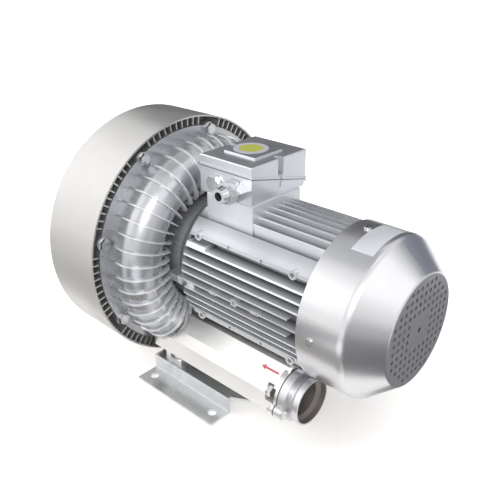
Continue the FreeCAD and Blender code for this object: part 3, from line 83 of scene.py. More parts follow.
def addNoise(tree, vector, scale, detail):
    noise = tree.nodes.new("ShaderNodeTexNoise")
    noise.inputs["Detail"].default_value = detail
    noise.inputs["Roughness"].default_value = noiseRoughness
    tree.links.new(vector, noise.inputs["Vector"])
    setOrLink(tree, noise.inputs["Scale"], scale)
    return noise.outputs["Fac"]


def addMath(tree, operation, first, second, clamp=False):
    node = tree.nodes.new("ShaderNodeMath")
    node.operation = operation
    node.use_clamp = clamp
    setOrLink(tree, node.inputs[0], first)
    setOrLink(tree, node.inputs[1], second)
    return node.outputs[0]


def addRange(tree, value, low, high, toLow, toHigh):
    node = tree.nodes.new("ShaderNodeMapRange")
    tree.links.new(value, node.inputs["Value"])
    for label, number in (("From Min", low), ("From Max", high), ("To Min", toLow), ("To Max", toHigh)):
        setOrLink(tree, node.inputs[label], number)
    return node.outputs["Result"]


def addMix(tree, factor, first, second):
    node = tree.nodes.new("ShaderNodeMix")
    node.data_type = "RGBA"
    for label, value in (("Factor", factor), ("A", first), ("B", second)):
        socket = [s for s in node.inputs if s.name == label and s.enabled][0]
        setOrLink(tree, socket, value)
    return [s for s in node.outputs if s.enabled][0]


def newSurfaceGroup(name, scaleKind):
    # every metal surface takes two colours, a scale and the two ends of its roughness
    inputs = [("Vector", "NodeSocketVector"), ("Base", "NodeSocketColor"), ("Shade", "NodeSocketColor"),
              ("Scale", scaleKind), ("Rough Low", "NodeSocketFloat"), ("Rough High", "NodeSocketFloat")]
    outputs = [("Color", "NodeSocketColor"), ("Roughness", "NodeSocketFloat"), ("Height", "NodeSocketFloat")]
    return newGroup(name, inputs, outputs)


def linkSurface(tree, source, sink, shadeMask, roughCloud, roughSpan, height):
    color = addMix(tree, shadeMask, source.outputs["Base"], source.outputs["Shade"])
    roughness = addRange(tree, roughCloud, *roughSpan, source.outputs["Rough Low"],
                         source.outputs["Rough High"])
    for label, output in (("Color", color), ("Roughness", roughness), ("Height", height)):
        tree.links.new(output, sink.inputs[label])
    return tree


castPattern = {"grainDetail": 3.0, "blotchScale": 28.0, "blotchDetail": 4.0, "blotchShare": 0.6,
               "wideScale": 7.0, "wideDetail": 2.0, "wideShare": 0.4, "shadeSpan": (0.38, 0.68),
               "shadeShare": 0.65, "speckleSpan": (0.35, 0.75), "speckleMost": 0.35,
               "roughSpan": (0.35, 0.65), "poreScale": 420.0, "poreReach": 0.16, "poreDepth": 0.7}


def makeCastGroup():
    # Cast metal: fine sand grain, soft blotches and a few pores.
    p = castPattern
    tree, source, sink = newSurfaceGroup("castSurface", "NodeSocketFloat")
    vector = source.outputs["Vector"]
    grain = addNoise(tree, vector, source.outputs["Scale"], p["grainDetail"])
    blotch = addNoise(tree, vector, p["blotchScale"], p["blotchDetail"])
    wide = addNoise(tree, vector, p["wideScale"], p["wideDetail"])
    pores = tree.nodes.new("ShaderNodeTexVoronoi")
    pores.inputs["Scale"].default_value = p["poreScale"]
    tree.links.new(vector, pores.inputs["Vector"])
    poreMask = addRange(tree, pores.outputs["Distance"], 0.0, p["poreReach"], 1.0, 0.0)
    cloud = addMath(tree, "ADD", addMath(tree, "MULTIPLY", blotch, p["blotchShare"]),
                    addMath(tree, "MULTIPLY", wide, p["wideShare"]))
    shade = addMath(tree, "MULTIPLY", addRange(tree, cloud, *p["shadeSpan"], 0.0, 1.0), p["shadeShare"])
    speckle = addRange(tree, grain, *p["speckleSpan"], 0.0, p["speckleMost"])
    mask = addMath(tree, "ADD", shade, speckle, clamp=True)
    height = addMath(tree, "SUBTRACT", grain, addMath(tree, "MULTIPLY", poreMask, p["poreDepth"]))
    return linkSurface(tree, source, sink, mask, cloud, p["roughSpan"], height)


brushedPattern = {"lineScale": 1.0, "lineDetail": 3.0, "cloudScale": 18.0, "cloudDetail": 3.0,
                  "lineSpan": (0.3, 0.7), "lineShare": 0.5, "cloudSpan": (0.4, 0.7), "cloudMost": 0.4,
                  "roughSpan": (0.35, 0.65)}


def makeBrushedGroup():
    # Rolled or turned metal: fine lines along the directions with the smallest scale.
    p = brushedPattern
    tree, source, sink = newSurfaceGroup("brushedSurface", "NodeSocketVector")
    stretch = tree.nodes.new("ShaderNodeVectorMath")
    stretch.operation = "MULTIPLY"
    tree.links.new(source.outputs["Vector"], stretch.inputs[0])
    tree.links.new(source.outputs["Scale"], stretch.inputs[1])
    lines = addNoise(tree, stretch.outputs["Vector"], p["lineScale"], p["lineDetail"])
    cloud = addNoise(tree, source.outputs["Vector"], p["cloudScale"], p["cloudDetail"])
    streaks = addMath(tree, "MULTIPLY", addRange(tree, lines, *p["lineSpan"], 0.0, 1.0), p["lineShare"])
    dull = addRange(tree, cloud, *p["cloudSpan"], 0.0, p["cloudMost"])
    mask = addMath(tree, "ADD", streaks, dull, clamp=True)
    return linkSurface(tree, source, sink, mask, cloud, p["roughSpan"], lines)


zincPattern = {"cloudScale": 14.0, "cloudDetail": 5.0, "fineScale": 700.0, "fineDetail": 2.0,
               "patchShare": 0.35, "cloudSpan": (0.38, 0.7), "cloudMost": 0.65, "roughSpan": (0.0, 1.0),
               "cloudHeight": 0.5}


def makeSpangleGroup():
    # Zinc plating: faint crystal patches with slightly different tints.
    p = zincPattern
    tree, source, sink = newSurfaceGroup("zincSurface", "NodeSocketFloat")
    patches = tree.nodes.new("ShaderNodeTexVoronoi")
    tree.links.new(source.outputs["Vector"], patches.inputs["Vector"])
    tree.links.new(source.outputs["Scale"], patches.inputs["Scale"])
    split = tree.nodes.new("ShaderNodeSeparateColor")
    tree.links.new(patches.outputs["Color"], split.inputs["Color"])
    cloud = addNoise(tree, source.outputs["Vector"], p["cloudScale"], p["cloudDetail"])
    fine = addNoise(tree, source.outputs["Vector"], p["fineScale"], p["fineDetail"])
    tint = addMath(tree, "MULTIPLY", split.outputs["Red"], p["patchShare"])
    dull = addRange(tree, cloud, *p["cloudSpan"], 0.0, p["cloudMost"])
    mask = addMath(tree, "ADD", tint, dull, clamp=True)
    height = addMath(tree, "ADD", fine, addMath(tree, "MULTIPLY", cloud, p["cloudHeight"]))
    return linkSurface(tree, source, sink, mask, mask, p["roughSpan"], height)


def makeFinShadeGroup():
    # Painted shade on a casting between its fins: a dark colour near the shaft stands in for the shade there,
    # the own colour at the tips.
    inputs = [("Vector", "NodeSocketVector"), ("Color", "NodeSocketColor"),
              ("Painted Shade Color", "NodeSocketColor"), ("Low", "NodeSocketFloat"), ("High", "NodeSocketFloat")]
    tree, source, sink = newGroup("paintedFinShade", inputs, [("Color", "NodeSocketColor")])
    offset = tree.nodes.new("ShaderNodeVectorMath")
    offset.operation = "MULTIPLY_ADD"
    tree.links.new(source.outputs["Vector"], offset.inputs[0])
    offset.inputs[1].default_value = (0.0, 1.0, 1.0)  # drops the part along the shaft
    offset.inputs[2].default_value = (0.0, 0.0, -shaftZ)
    reach = tree.nodes.new("ShaderNodeVectorMath")
    reach.operation = "LENGTH"
    tree.links.new(offset.outputs["Vector"], reach.inputs[0])
    mask = addRange(tree, reach.outputs["Value"], source.outputs["Low"], source.outputs["High"], 0.0, 1.0)
    color = addMix(tree, mask, source.outputs["Painted Shade Color"], source.outputs["Color"])
    tree.links.new(color, sink.inputs["Color"])
    return tree


groups = {"cast": makeCastGroup(), "brushed": makeBrushedGroup(), "zinc": makeSpangleGroup(),
          "radius": makeFinShadeGroup()}


# Finishes. The scale is of the grain, of the lines along x, y and z, or of the zinc patches,
# bump is the strength of the surface's relief and relief its height in metres.
finishes = {
    # castSilverPaintedShade and ribSilverPaintedHighlight are shaded and lit copies of one housing metal: the
    # housing is darkened as painted shade between the ribs, the blades lightened as a painted highlight
    "castSilverPaintedShade": {"kind": "cast", "base": (0.57, 0.58, 0.60), "shade": (0.52, 0.53, 0.555),
                   "metallic": 0.70, "rough": (0.25, 0.32), "scale": 1400.0, "bump": 0.05},
    "ribSilverPaintedHighlight": {"kind": "cast", "base": (0.94, 0.95, 0.96), "shade": (0.88, 0.89, 0.91),
                  "metallic": 0.40, "rough": (0.24, 0.34), "scale": 900.0, "bump": 0.08},
    "skirtSatin": {"kind": "cast", "base": (0.60, 0.59, 0.58), "shade": (0.565, 0.555, 0.54),
                   "metallic": 0.78, "rough": (0.36, 0.44), "scale": 2200.0, "bump": 0.04},
    # motorSilver darkens towards the shaft: painted shade between the motor's fins
    "motorSilver": {"kind": "cast", "base": (0.88, 0.90, 0.93), "shade": (0.80, 0.82, 0.86),
                    "metallic": 0.55, "rough": (0.28, 0.40), "scale": 1000.0, "bump": 0.10,
                    "depth": {"color": (0.20, 0.205, 0.22), "low": 0.079, "high": 0.0905}},
    "boxSilver": {"kind": "cast", "base": (0.78, 0.80, 0.83), "shade": (0.71, 0.73, 0.77),
                  "metallic": 0.80, "rough": (0.26, 0.36), "scale": 1300.0, "bump": 0.07},
    "silencerSilver": {"kind": "cast", "base": (0.86, 0.85, 0.83), "shade": (0.82, 0.81, 0.79),
                       "metallic": 0.82, "rough": (0.28, 0.36), "scale": 1500.0, "bump": 0.012},
    "cowlSatin": {"kind": "cast", "base": (0.70, 0.70, 0.715), "shade": (0.68, 0.68, 0.695),
                  "metallic": 0.85, "rough": (0.27, 0.30), "scale": 2400.0, "bump": 0.01},
    "zincSheet": {"kind": "zinc", "base": (0.72, 0.735, 0.745), "shade": (0.62, 0.64, 0.655),
                  "metallic": 0.85, "rough": (0.26, 0.40), "scale": 120.0, "bump": 0.05},
    "boltZinc": {"kind": "zinc", "base": (0.74, 0.75, 0.76), "shade": (0.62, 0.62, 0.62),
                 "metallic": 0.95, "rough": (0.18, 0.32), "scale": 300.0, "bump": 0.04},
    "spigotMetal": {"kind": "brushed", "base": (0.74, 0.74, 0.75), "shade": (0.66, 0.66, 0.68),
                    "metallic": 0.85, "rough": (0.30, 0.40), "scale": (900.0, 30.0, 30.0), "bump": 0.02},
    # spigotBorePaintedShade is painted shade for the inside of the spigots
    "spigotBorePaintedShade": {"kind": "brushed", "base": (0.30, 0.27, 0.25), "shade": (0.24, 0.215, 0.20),
                   "metallic": 0.45, "rough": (0.45, 0.55), "scale": (900.0, 30.0, 30.0), "bump": 0.02},
    "nickel": {"kind": "brushed", "base": (0.62, 0.63, 0.64), "shade": (0.54, 0.55, 0.56),
               "metallic": 0.95, "rough": (0.12, 0.20), "scale": (40.0, 300.0, 40.0), "bump": 0.02},
    "rubber": {"kind": "cast", "base": (0.035, 0.035, 0.037), "shade": (0.06, 0.06, 0.06),
               "metallic": 0.0, "rough": (0.55, 0.75), "scale": 700.0, "bump": 0.2},
    "foam": {"kind": "cast", "base": (0.10, 0.095, 0.09), "shade": (0.05, 0.05, 0.05),
             "metallic": 0.0, "rough": (0.85, 0.95), "scale": 260.0, "bump": 1.0, "relief": 0.002},
    "groundSteel": {"kind": "brushed", "base": (0.62, 0.63, 0.64), "shade": (0.50, 0.51, 0.52),
                    "metallic": 0.95, "rough": (0.16, 0.30), "scale": (900.0, 40.0, 40.0), "bump": 0.05},
    "coreIron": {"kind": "brushed", "base": (0.30, 0.30, 0.31), "shade": (0.16, 0.16, 0.17),
                 "metallic": 0.8, "rough": (0.4, 0.6), "scale": (1400.0, 20.0, 20.0), "bump": 0.3},
    "copper": {"kind": "brushed", "base": (0.62, 0.30, 0.16), "shade": (0.42, 0.18, 0.09),
               "metallic": 0.8, "rough": (0.3, 0.5), "scale": (60.0, 500.0, 500.0), "bump": 0.3},
    "fanPlastic": {"kind": "cast", "base": (0.045, 0.045, 0.05), "shade": (0.03, 0.03, 0.03),
                   "metallic": 0.0, "rough": (0.4, 0.6), "scale": 900.0, "bump": 0.1},
    "impellerMetal": {"kind": "cast", "base": (0.66, 0.67, 0.68), "shade": (0.56, 0.57, 0.58),
                      "metallic": 0.9, "rough": (0.24, 0.4), "scale": 900.0, "bump": 0.1},
    "plateMetal": {"kind": "brushed", "base": (0.84, 0.88, 0.92), "shade": (0.76, 0.80, 0.85),
                   "metallic": 0.25, "rough": (0.40, 0.55), "scale": (60.0, 900.0, 900.0), "bump": 0.03},
    "discRim": {"kind": "cast", "base": (0.66, 0.65, 0.74), "shade": (0.58, 0.57, 0.68),
                "metallic": 0.0, "rough": (0.42, 0.55), "scale": 900.0, "bump": 0.04},
    "discField": {"kind": "cast", "base": (0.62, 0.66, 0.12), "shade": (0.48, 0.54, 0.08),
                  "metallic": 0.0, "rough": (0.42, 0.55), "scale": 900.0, "bump": 0.04},
    "arrowRed": {"kind": "cast", "base": (0.80, 0.16, 0.20), "shade": (0.66, 0.12, 0.16),
                 "metallic": 0.0, "rough": (0.42, 0.55), "scale": 900.0, "bump": 0.04},
}


def addPaintedFinShade(tree, place, color, depth):
    fade = tree.nodes.new("ShaderNodeGroup")
    fade.node_tree = groups["radius"]
    tree.links.new(place.outputs["Object"], fade.inputs["Vector"])
    tree.links.new(color, fade.inputs["Color"])
    fade.inputs["Painted Shade Color"].default_value = (*depth["color"], 1)
    fade.inputs["Low"].default_value = depth["low"]
    fade.inputs["High"].default_value = depth["high"]
    return fade.outputs["Color"]


def surfaceMaterial(name, kind, base, shade, metallic, rough, scale, bump, relief=0.0004, depth=None):
    # A Principled surface fed by one of the shared groups.
    material = bpy.data.materials.new(name)
    material.use_nodes = True
    tree = material.node_tree
    shader = tree.nodes["Principled BSDF"]
    shader.inputs["Metallic"].default_value = metallic
    place = tree.nodes.new("ShaderNodeTexCoord")
    group = tree.nodes.new("ShaderNodeGroup")
    group.node_tree = groups[kind]
    tree.links.new(place.outputs["Object"], group.inputs["Vector"])
    values = {"Base": (*base, 1), "Shade": (*shade, 1), "Scale": scale, "Rough Low": rough[0],
              "Rough High": rough[1]}
    for label, value in values.items():
        group.inputs[label].default_value = value
    color = group.outputs["Color"]
    # painted shade between the fins, where a finish asks for it
    if depth:
        color = addPaintedFinShade(tree, place, color, depth)
    tree.links.new(color, shader.inputs["Base Color"])
    tree.links.new(group.outputs["Roughness"], shader.inputs["Roughness"])
    grain = tree.nodes.new("ShaderNodeBump")
    grain.inputs["Strength"].default_value = bump
    grain.inputs["Distance"].default_value = relief
    tree.links.new(group.outputs["Height"], grain.inputs["Height"])
    tree.links.new(grain.outputs["Normal"], shader.inputs["Normal"])
    return material


materials = {name: surfaceMaterial(name, **finish) for name, finish in finishes.items()}
slotMaterials = {
    "cast_housing": "castSilverPaintedShade", "skirt_metal": "skirtSatin", "motor_casting": "motorSilver",
    "silencer_metal": "silencerSilver", "cowl_sheet": "cowlSatin", "base_sheet": "zincSheet",
    "bolt_steel": "boltZinc", "spigot_metal": "spigotMetal", "seal_rubber": "rubber",
    "gland_metal": "nickel", "foam_lining": "foam", "shaft_steel": "groundSteel",
    "core_iron": "coreIron", "copper_wire": "copper", "impeller_metal": "impellerMetal",
    "fan_plastic": "fanPlastic", "board_plastic": "fanPlastic",
}
nodeMaterials = {"terminal_box_base": "boxSilver", "terminal_box_lid": "boxSilver"}
boreShadeMask = {"nodes": ("inlet_spigot", "outlet_spigot"), "reach": 0.0290, "facing": -0.2}


def paintNode(node, piece):
    name = nodeMaterials.get(node, slotMaterials[slotOfNode[node]])
    piece.data.materials.clear()
    piece.data.materials.append(materials[name])


def paintBoreShade(node):
    # painted shade: the bore of a spigot is given a dark brown grey for the shade inside it, its outside
    # bright
    tube = nodes[node].data
    tube.materials.append(materials["spigotBorePaintedShade"])
    lowEnd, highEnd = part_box(node)
    middle = Vector((0, (lowEnd.y + highEnd.y) / 2, (lowEnd.z + highEnd.z) / 2))
    for face in tube.polygons:
        away = face.center - middle
        away.x = 0
        facesAxis = face.normal.dot(away) < boreShadeMask["facing"] * away.length
        if facesAxis and away.length < boreShadeMask["reach"]:
            face.material_index = 1


for node, piece in nodes.items():
    paintNode(node, piece)
for node in boreShadeMask["nodes"]:
    paintBoreShade(node)
print("materials assigned")


# Pieces that only the scene holds
edges = {"segments": 2, "sharpAngle": 35.0, "smoothAngle": 30.0}
facing = 0.9  # a face looks along a direction when its normal goes at least this far along it


def startPiece(addPrimitive, **settings):
    # a new primitive, alone and selected all over, with its place in its mesh
    bpy.ops.object.select_all(action="DESELECT")
    addPrimitive(**settings)
    bpy.ops.object.transform_apply(location=True, rotation=True, scale=True)
    return bpy.context.object


def selectInEdit(piece, mode, keep):
    # picks vertices or faces in edit mode by their place or normal
    bpy.ops.mesh.select_mode(type=mode)
    bpy.ops.mesh.select_all(action="DESELECT")
    mesh = bmesh.from_edit_mesh(piece.data)
    for part in (mesh.verts if mode == "VERT" else mesh.faces):
        part.select_set(keep(part))
    mesh.select_flush_mode()
    bmesh.update_edit_mesh(piece.data)


def applyWall(piece, thickness, offset):
    wall = piece.modifiers.new("wall", "SOLIDIFY")
    wall.thickness = thickness
    wall.offset = offset
    bpy.ops.object.modifier_apply(modifier="wall")


def applyEdgeRound(piece, width):
    rounding = piece.modifiers.new("edgeRound", "BEVEL")
    rounding.width = width
    rounding.segments = edges["segments"]
    rounding.limit_method = "ANGLE"
    rounding.angle_limit = math.radians(edges["sharpAngle"])
    bpy.ops.object.modifier_apply(modifier="edgeRound")


def finishPiece(piece, name, material):
    piece.name = name
    piece.data.name = name
    bpy.ops.object.transform_apply(location=True, rotation=True, scale=True)
    bpy.ops.object.shade_smooth_by_angle(angle=math.radians(edges["smoothAngle"]))
    piece.data.materials.clear()
    piece.data.materials.append(materials[material])
    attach(piece, "casing")


# Taller blades over the housing's own ribs, with a free corner towards the motor.
# A blade is a part of a ring round the channel's middle, its corner swelled out in three steps.
channelRibs = {"centreX": -0.050, "centreR": 0.114, "innerRadius": 0.0262, "outerRadius": 0.0326, "steps": 96,
               "backX": -0.058, "thickness": 0.0025, "tipBand": 0.0005, "tipShare": 0.42,
               "firstAngle": -45.0, "count": 37, "pitch": 7.5,
               "cornerSpans": ((-78.0, -18.0), (-72.0, -28.0), (-64.0, -38.0)), "cornerGrow": 1.045}


def angleRound(centre, place):
    return math.degrees(math.atan2(place.z - centre.z, place.x - centre.x))


def buildChannelRibs():
    p = channelRibs
    centre = Vector((p["centreX"], 0, shaftZ + p["centreR"]))
    middleRadius = (p["innerRadius"] + p["outerRadius"]) / 2
    inward = p["innerRadius"] / p["outerRadius"]
    piece = startPiece(bpy.ops.mesh.primitive_circle_add, vertices=p["steps"], radius=p["outerRadius"],
                       fill_type="NOTHING", location=centre, rotation=(math.radians(90), 0, 0))
    bpy.ops.object.mode_set(mode="EDIT")
    bpy.ops.mesh.select_mode(type="EDGE")
    bpy.ops.mesh.select_all(action="SELECT")
    bpy.ops.mesh.extrude_region_move(TRANSFORM_OT_translate={"value": (0, 0, 0)})
    bpy.ops.transform.resize(value=(inward, inward, inward), center_override=centre)
    bpy.ops.mesh.select_all(action="SELECT")
    bpy.ops.mesh.bisect(plane_co=(p["backX"], 0, 0), plane_no=(-1, 0, 0), clear_outer=True)
    grow = p["cornerGrow"]
    for low, high in p["cornerSpans"]:
        selectInEdit(piece, "VERT", lambda vert: low < angleRound(centre, vert.co) < high
                     and (vert.co - centre).length > middleRadius)
        bpy.ops.transform.resize(value=(grow, grow, grow), center_override=centre)
    bpy.ops.object.mode_set(mode="OBJECT")
    applyWall(piece, p["thickness"], 0.0)
    bpy.ops.object.mode_set(mode="EDIT")
    tipRadius = p["outerRadius"] - p["tipBand"]
    selectInEdit(piece, "VERT", lambda vert: (vert.co - centre).length > tipRadius)
    bpy.ops.transform.resize(value=(1, p["tipShare"], 1), center_override=centre)
    bpy.ops.mesh.select_all(action="SELECT")
    bpy.ops.transform.rotate(value=math.radians(90.0 - p["firstAngle"]), orient_axis="X",
                             center_override=(0, 0, shaftZ))
    bpy.ops.mesh.spin(steps=p["count"] - 1, dupli=True, angle=math.radians((p["count"] - 1) * p["pitch"]),
                      center=(0, 0, shaftZ), axis=(1, 0, 0))
    bpy.ops.object.mode_set(mode="OBJECT")
    # the blades take the lit copy of the housing metal, a painted highlight
    finishPiece(piece, "channelRibs", "ribSilverPaintedHighlight")


# A bare plate bent round the cowl, its ends given as angles from +Y over the top
cowlPlate = {"frontX": 0.211, "backX": 0.2375, "lowAngle": 76.0, "highAngle": 114.0, "lift": 0.0001,
             "thickness": 0.0003, "steps": 144, "edgeRound": 0.0001}


def buildCowlPlate():
    p = cowlPlate
    radius = (cowlHigh.z - cowlLow.z) / 2 + p["lift"]
    piece = startPiece(bpy.ops.mesh.primitive_cylinder_add, vertices=p["steps"], radius=radius,
                       depth=p["backX"] - p["frontX"], end_fill_type="NOTHING",
                       location=((p["frontX"] + p["backX"]) / 2, 0, shaftZ),
                       rotation=(0, math.radians(90), 0))
    bpy.ops.object.mode_set(mode="EDIT")
    for angle, side in ((p["lowAngle"], 1), (p["highAngle"], -1)):
        bpy.ops.mesh.select_all(action="SELECT")
        end = math.radians(angle)
        normal = (0, side * math.sin(end), -side * math.cos(end))
        bpy.ops.mesh.bisect(plane_co=(0, 0, shaftZ), plane_no=normal, clear_outer=True)
    selectInEdit(piece, "FACE", lambda face: face.calc_center_median().z < shaftZ)
    bpy.ops.mesh.delete(type="FACE")
    bpy.ops.object.mode_set(mode="OBJECT")
    applyWall(piece, p["thickness"], 1.0)
    applyEdgeRound(piece, p["edgeRound"])
    finishPiece(piece, "cowlPlate", "plateMetal")


# A bare disc on the lid, its field sunk a hair below the rim
lidDisc = {"place": (0.0356, 0.0007), "radius": 0.0213, "field": 0.0150, "thickness": 0.0003, "steps": 96,
           "sink": 0.00005}


def buildLidDisc():
    p = lidDisc
    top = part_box("terminal_box_lid")[1].z
    piece = startPiece(bpy.ops.mesh.primitive_cylinder_add, vertices=p["steps"], radius=p["radius"],
                       depth=p["thickness"], location=(*p["place"], top + p["thickness"] / 2))
    bpy.ops.object.mode_set(mode="EDIT")
    selectInEdit(piece, "FACE", lambda face: face.normal.z > facing)
    bpy.ops.mesh.inset(thickness=p["radius"] - p["field"], depth=-p["sink"])
    bpy.ops.object.mode_set(mode="OBJECT")
    finishPiece(piece, "lidDisc", "discRim")
    piece.data.materials.append(materials["discField"])
    for face in piece.data.polygons:
        # the field's centre lies on the disc's axis, the rim's faces lie round it
        away = (face.center.xy - Vector(p["place"])).length
        face.material_index = 1 if face.normal.z > facing and away < p["field"] / 2 else 0


# A plain arrow on the silencer's slope: a bar, and a head that goes out to the barbs and in to the tip
flowArrow = {"tip": (0.1184, -0.0712, 0.0942), "length": 0.0265, "headLength": 0.0062, "headWidth": 0.0068,
             "shaftWidth": 0.0026, "thickness": 0.0003, "slope": 40.5, "barbStep": 0.00002, "tipShare": 0.04}


def buildFlowArrow():
    p = flowArrow
    piece = startPiece(bpy.ops.mesh.primitive_cube_add, size=1.0,
                       location=((p["length"] + p["headLength"]) / 2, 0, p["thickness"] / 2),
                       scale=(p["length"] - p["headLength"], p["shaftWidth"], p["thickness"]))
    bpy.ops.object.mode_set(mode="EDIT")
    selectInEdit(piece, "FACE", lambda face: face.normal.x < -facing)
    headSteps = ((p["barbStep"], p["headWidth"] / p["shaftWidth"]),
                 (p["headLength"] - p["barbStep"], p["tipShare"]))
    for length, widening in headSteps:
        bpy.ops.mesh.extrude_region_move(TRANSFORM_OT_translate={"value": (-length, 0, 0)})
        bpy.ops.transform.resize(value=(1, widening, 1))
    bpy.ops.object.mode_set(mode="OBJECT")
    piece.rotation_euler = (math.radians(p["slope"]), 0, 0)
    piece.location = p["tip"]
    finishPiece(piece, "flowArrow", "arrowRed")


buildChannelRibs()
buildCowlPlate()
buildLidDisc()
buildFlowArrow()
print("ribs, plate, disc and arrow made")


# Stage, light and camera
studio = {
    "centre": (0.05, 0.0, 0.18), "roomLevel": 0.45,
    "floor": {"color": (0.86, 0.84, 0.82), "roughness": 0.9, "size": 12.0, "drop": 0.0002,
              "nearRadius": 0.19, "farRadius": 0.40, "nearGlow": 0.42, "farGlow": 1.0},
    # name: place, size, power, colour
    "lamps": {
        "keyLamp": ((-1.05, -1.20, 1.05), (1.3, 1.1), 11.0, (1.0, 1.0, 1.0)),
        "frontLamp": ((0.95, -1.45, 1.30), (1.0, 0.9), 10.0, (1.0, 1.0, 1.0)),
        "topLamp": ((0.10, 0.10, 1.90), (1.2, 1.2), 3.5, (1.0, 0.99, 0.98)),
    },
    # name: place, size, colour, lies flat; these are cards that only reflections see
    "cards": {
        "keyCard": ((-1.15, -0.85, 1.00), (2.2, 1.2), (1.60, 1.60, 1.60), False),
        "highCard": ((1.45, -0.05, 1.25), (1.9, 0.8), (1.60, 1.60, 1.65), False),
        "zenithCard": ((-0.30, 0.10, 1.75), (1.5, 1.1), (0.50, 0.51, 0.53), True),
        "backCard": ((-0.80, 1.35, 0.95), (1.9, 2.0), (0.05, 0.05, 0.055), False),
        "sideCard": ((0.60, 1.60, 0.60), (1.5, 1.3), (0.16, 0.18, 0.24), False),
        "horizonCard": ((1.60, -1.15, 0.06), (1.9, 0.50), (0.22, 0.23, 0.26), False),
        "frontFloorCard": ((0.55, -0.80, 0.0), (1.5, 1.0), (0.17, 0.175, 0.185), True),
        "cornerFloorCard": ((0.82, -0.15, 0.0), (0.98, 0.30), (0.10, 0.10, 0.115), True),
        "nearFloorCard": ((0.42, 0.26, 0.0), (0.36, 0.52), (0.20, 0.205, 0.22), True),
        "rightFloorCard": ((1.05, 0.90, 0.0), (0.9, 1.6), (0.70, 0.71, 0.74), True),
        "leftFloorCard": ((-0.85, -0.85, 0.0), (1.3, 1.3), (0.56, 0.545, 0.52), True),
        "closeFloorCard": ((0.06, -0.27, 0.0), (0.52, 0.17), (0.27, 0.255, 0.23), True),
        "ribFloorCard": ((0.24, -0.57, 0.003), (0.42, 0.38), (1.50, 1.53, 1.58), True),
        "ledgeCard": ((-1.34, 0.03, 1.85), (1.0, 0.75), (1.25, 1.27, 1.31), False),
        "boxFloorCard": ((-0.52, -0.70, 0.003), (0.60, 0.42), (1.05, 1.07, 1.10), True),
    },
    "camera": {"place": (0.5237, -0.5344, 0.5567), "azimuth": 42.5, "elevation": 26.543, "roll": -0.21,
               "lens": 45.11, "sensor": 36.0, "nearest": 0.01},
}


def addGlow(tree, color):
    glow = tree.nodes.new("ShaderNodeEmission")
    glow.inputs["Color"].default_value = (*color, 1)
    return glow


def addSeenMask(tree):
    # 1 for what the camera sees, straight, in a mirror or through glass
    path = tree.nodes.new("ShaderNodeLightPath")
    seen = addMath(tree, "MAXIMUM", path.outputs["Is Camera Ray"], path.outputs["Is Glossy Ray"])
    return addMath(tree, "MAXIMUM", seen, path.outputs["Is Transmission Ray"])


def makeFloorMaterial():
    # a pale floor, topped up to white away from the object wherever the camera sees it
    p = studio["floor"]
    material = bpy.data.materials.new("paleFloor")
    material.use_nodes = True
    tree = material.node_tree
    shader = tree.nodes["Principled BSDF"]
    shader.inputs["Base Color"].default_value = (*p["color"], 1)
    shader.inputs["Roughness"].default_value = p["roughness"]
    place = tree.nodes.new("ShaderNodeTexCoord")
    reach = tree.nodes.new("ShaderNodeVectorMath")
    reach.operation = "LENGTH"
    tree.links.new(place.outputs["Object"], reach.inputs[0])
    glow = addGlow(tree, (1, 1, 1))
    level = addRange(tree, reach.outputs["Value"], p["nearRadius"], p["farRadius"], p["nearGlow"],
                     p["farGlow"])
    tree.links.new(level, glow.inputs["Strength"])
    add = tree.nodes.new("ShaderNodeAddShader")
    tree.links.new(shader.outputs["BSDF"], add.inputs[0])
    tree.links.new(glow.outputs["Emission"], add.inputs[1])
    mix = tree.nodes.new("ShaderNodeMixShader")
    tree.links.new(addSeenMask(tree), mix.inputs["Fac"])
    tree.links.new(shader.outputs["BSDF"], mix.inputs[1])
    tree.links.new(add.outputs["Shader"], mix.inputs[2])
    tree.links.new(mix.outputs["Shader"], tree.nodes["Material Output"].inputs["Surface"])
    return material


def buildFloor():
    p = studio["floor"]
    bpy.ops.object.select_all(action="DESELECT")
    bpy.ops.mesh.primitive_plane_add(size=p["size"], location=(0, 0, cadLow.z - p["drop"]))
    floor = bpy.context.object
    floor.name = "studioFloor"
    floor.data.materials.append(makeFloorMaterial())


def buildWorld():
    # white where the camera sees it, and a dimmer room for the light it gives
    world = bpy.data.worlds.new("studioWorld")
    bpy.context.scene.world = world
    world.use_nodes = True
    tree = world.node_tree
    back = tree.nodes["Background"]
    back.inputs["Color"].default_value = (1, 1, 1, 1)
    level = addRange(tree, addSeenMask(tree), 0.0, 1.0, studio["roomLevel"], 1.0)
    tree.links.new(level, back.inputs["Strength"])


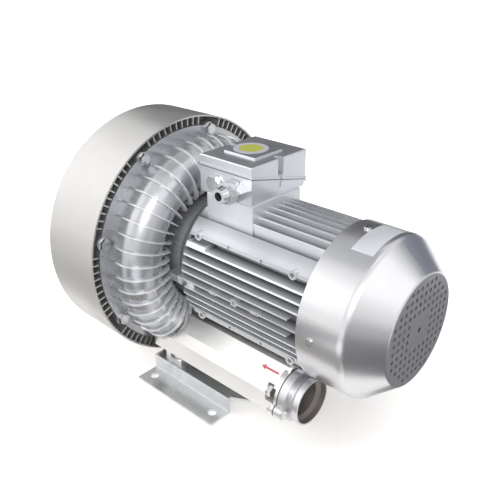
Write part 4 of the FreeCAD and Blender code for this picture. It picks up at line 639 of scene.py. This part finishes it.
def aimAtCentre(place, axis):
    return (Vector(studio["centre"]) - Vector(place)).to_track_quat(axis, "Y").to_euler()


def addCard(name, place, size, color, flat):
    bpy.ops.object.select_all(action="DESELECT")
    bpy.ops.mesh.primitive_plane_add(size=1.0, location=place)
    card = bpy.context.object
    card.name = name
    if not flat:
        card.rotation_euler = aimAtCentre(place, "Z")
    card.scale = (*size, 1)
    material = bpy.data.materials.new(name + "Paint")
    material.use_nodes = True
    tree = material.node_tree
    tree.links.new(addGlow(tree, color).outputs["Emission"], tree.nodes["Material Output"].inputs["Surface"])
    card.data.materials.append(material)
    card.visible_camera = False
    card.visible_diffuse = False
    card.visible_shadow = False
    card.visible_transmission = False


def addLamp(name, place, size, power, color):
    lamp = bpy.data.lights.new(name, "AREA")
    lamp.shape = "RECTANGLE"
    lamp.size, lamp.size_y = size
    lamp.energy = power
    lamp.color = color
    holder = bpy.data.objects.new(name, lamp)
    holder.location = place
    holder.rotation_euler = aimAtCentre(place, "-Z")
    bpy.context.scene.collection.objects.link(holder)


def buildCamera():
    p = studio["camera"]
    azimuth, elevation = math.radians(p["azimuth"]), math.radians(p["elevation"])
    back = Vector((math.sin(azimuth) * math.cos(elevation), -math.cos(azimuth) * math.cos(elevation),
                   math.sin(elevation)))
    right = Vector((0, 0, 1)).cross(back).normalized()
    up = back.cross(right)
    turn = Matrix((right, up, back)).transposed() @ Matrix.Rotation(math.radians(p["roll"]), 3, "Z")
    camera = bpy.data.cameras.new("photoCamera")
    camera.sensor_width = p["sensor"]
    camera.lens = p["lens"]
    camera.clip_start = p["nearest"]
    holder = bpy.data.objects.new("photoCamera", camera)
    holder.matrix_world = Matrix.Translation(p["place"]) @ turn.to_4x4()
    bpy.context.scene.collection.objects.link(holder)
    bpy.context.scene.camera = holder


buildFloor()
buildWorld()
for name, (place, size, power, color) in studio["lamps"].items():
    addLamp(name, place, size, power, color)
for name, (place, size, color, flat) in studio["cards"].items():
    addCard(name, place, size, color, flat)
buildCamera()
bpy.context.scene.view_settings.view_transform = "Standard"
print("stage, light and camera set")
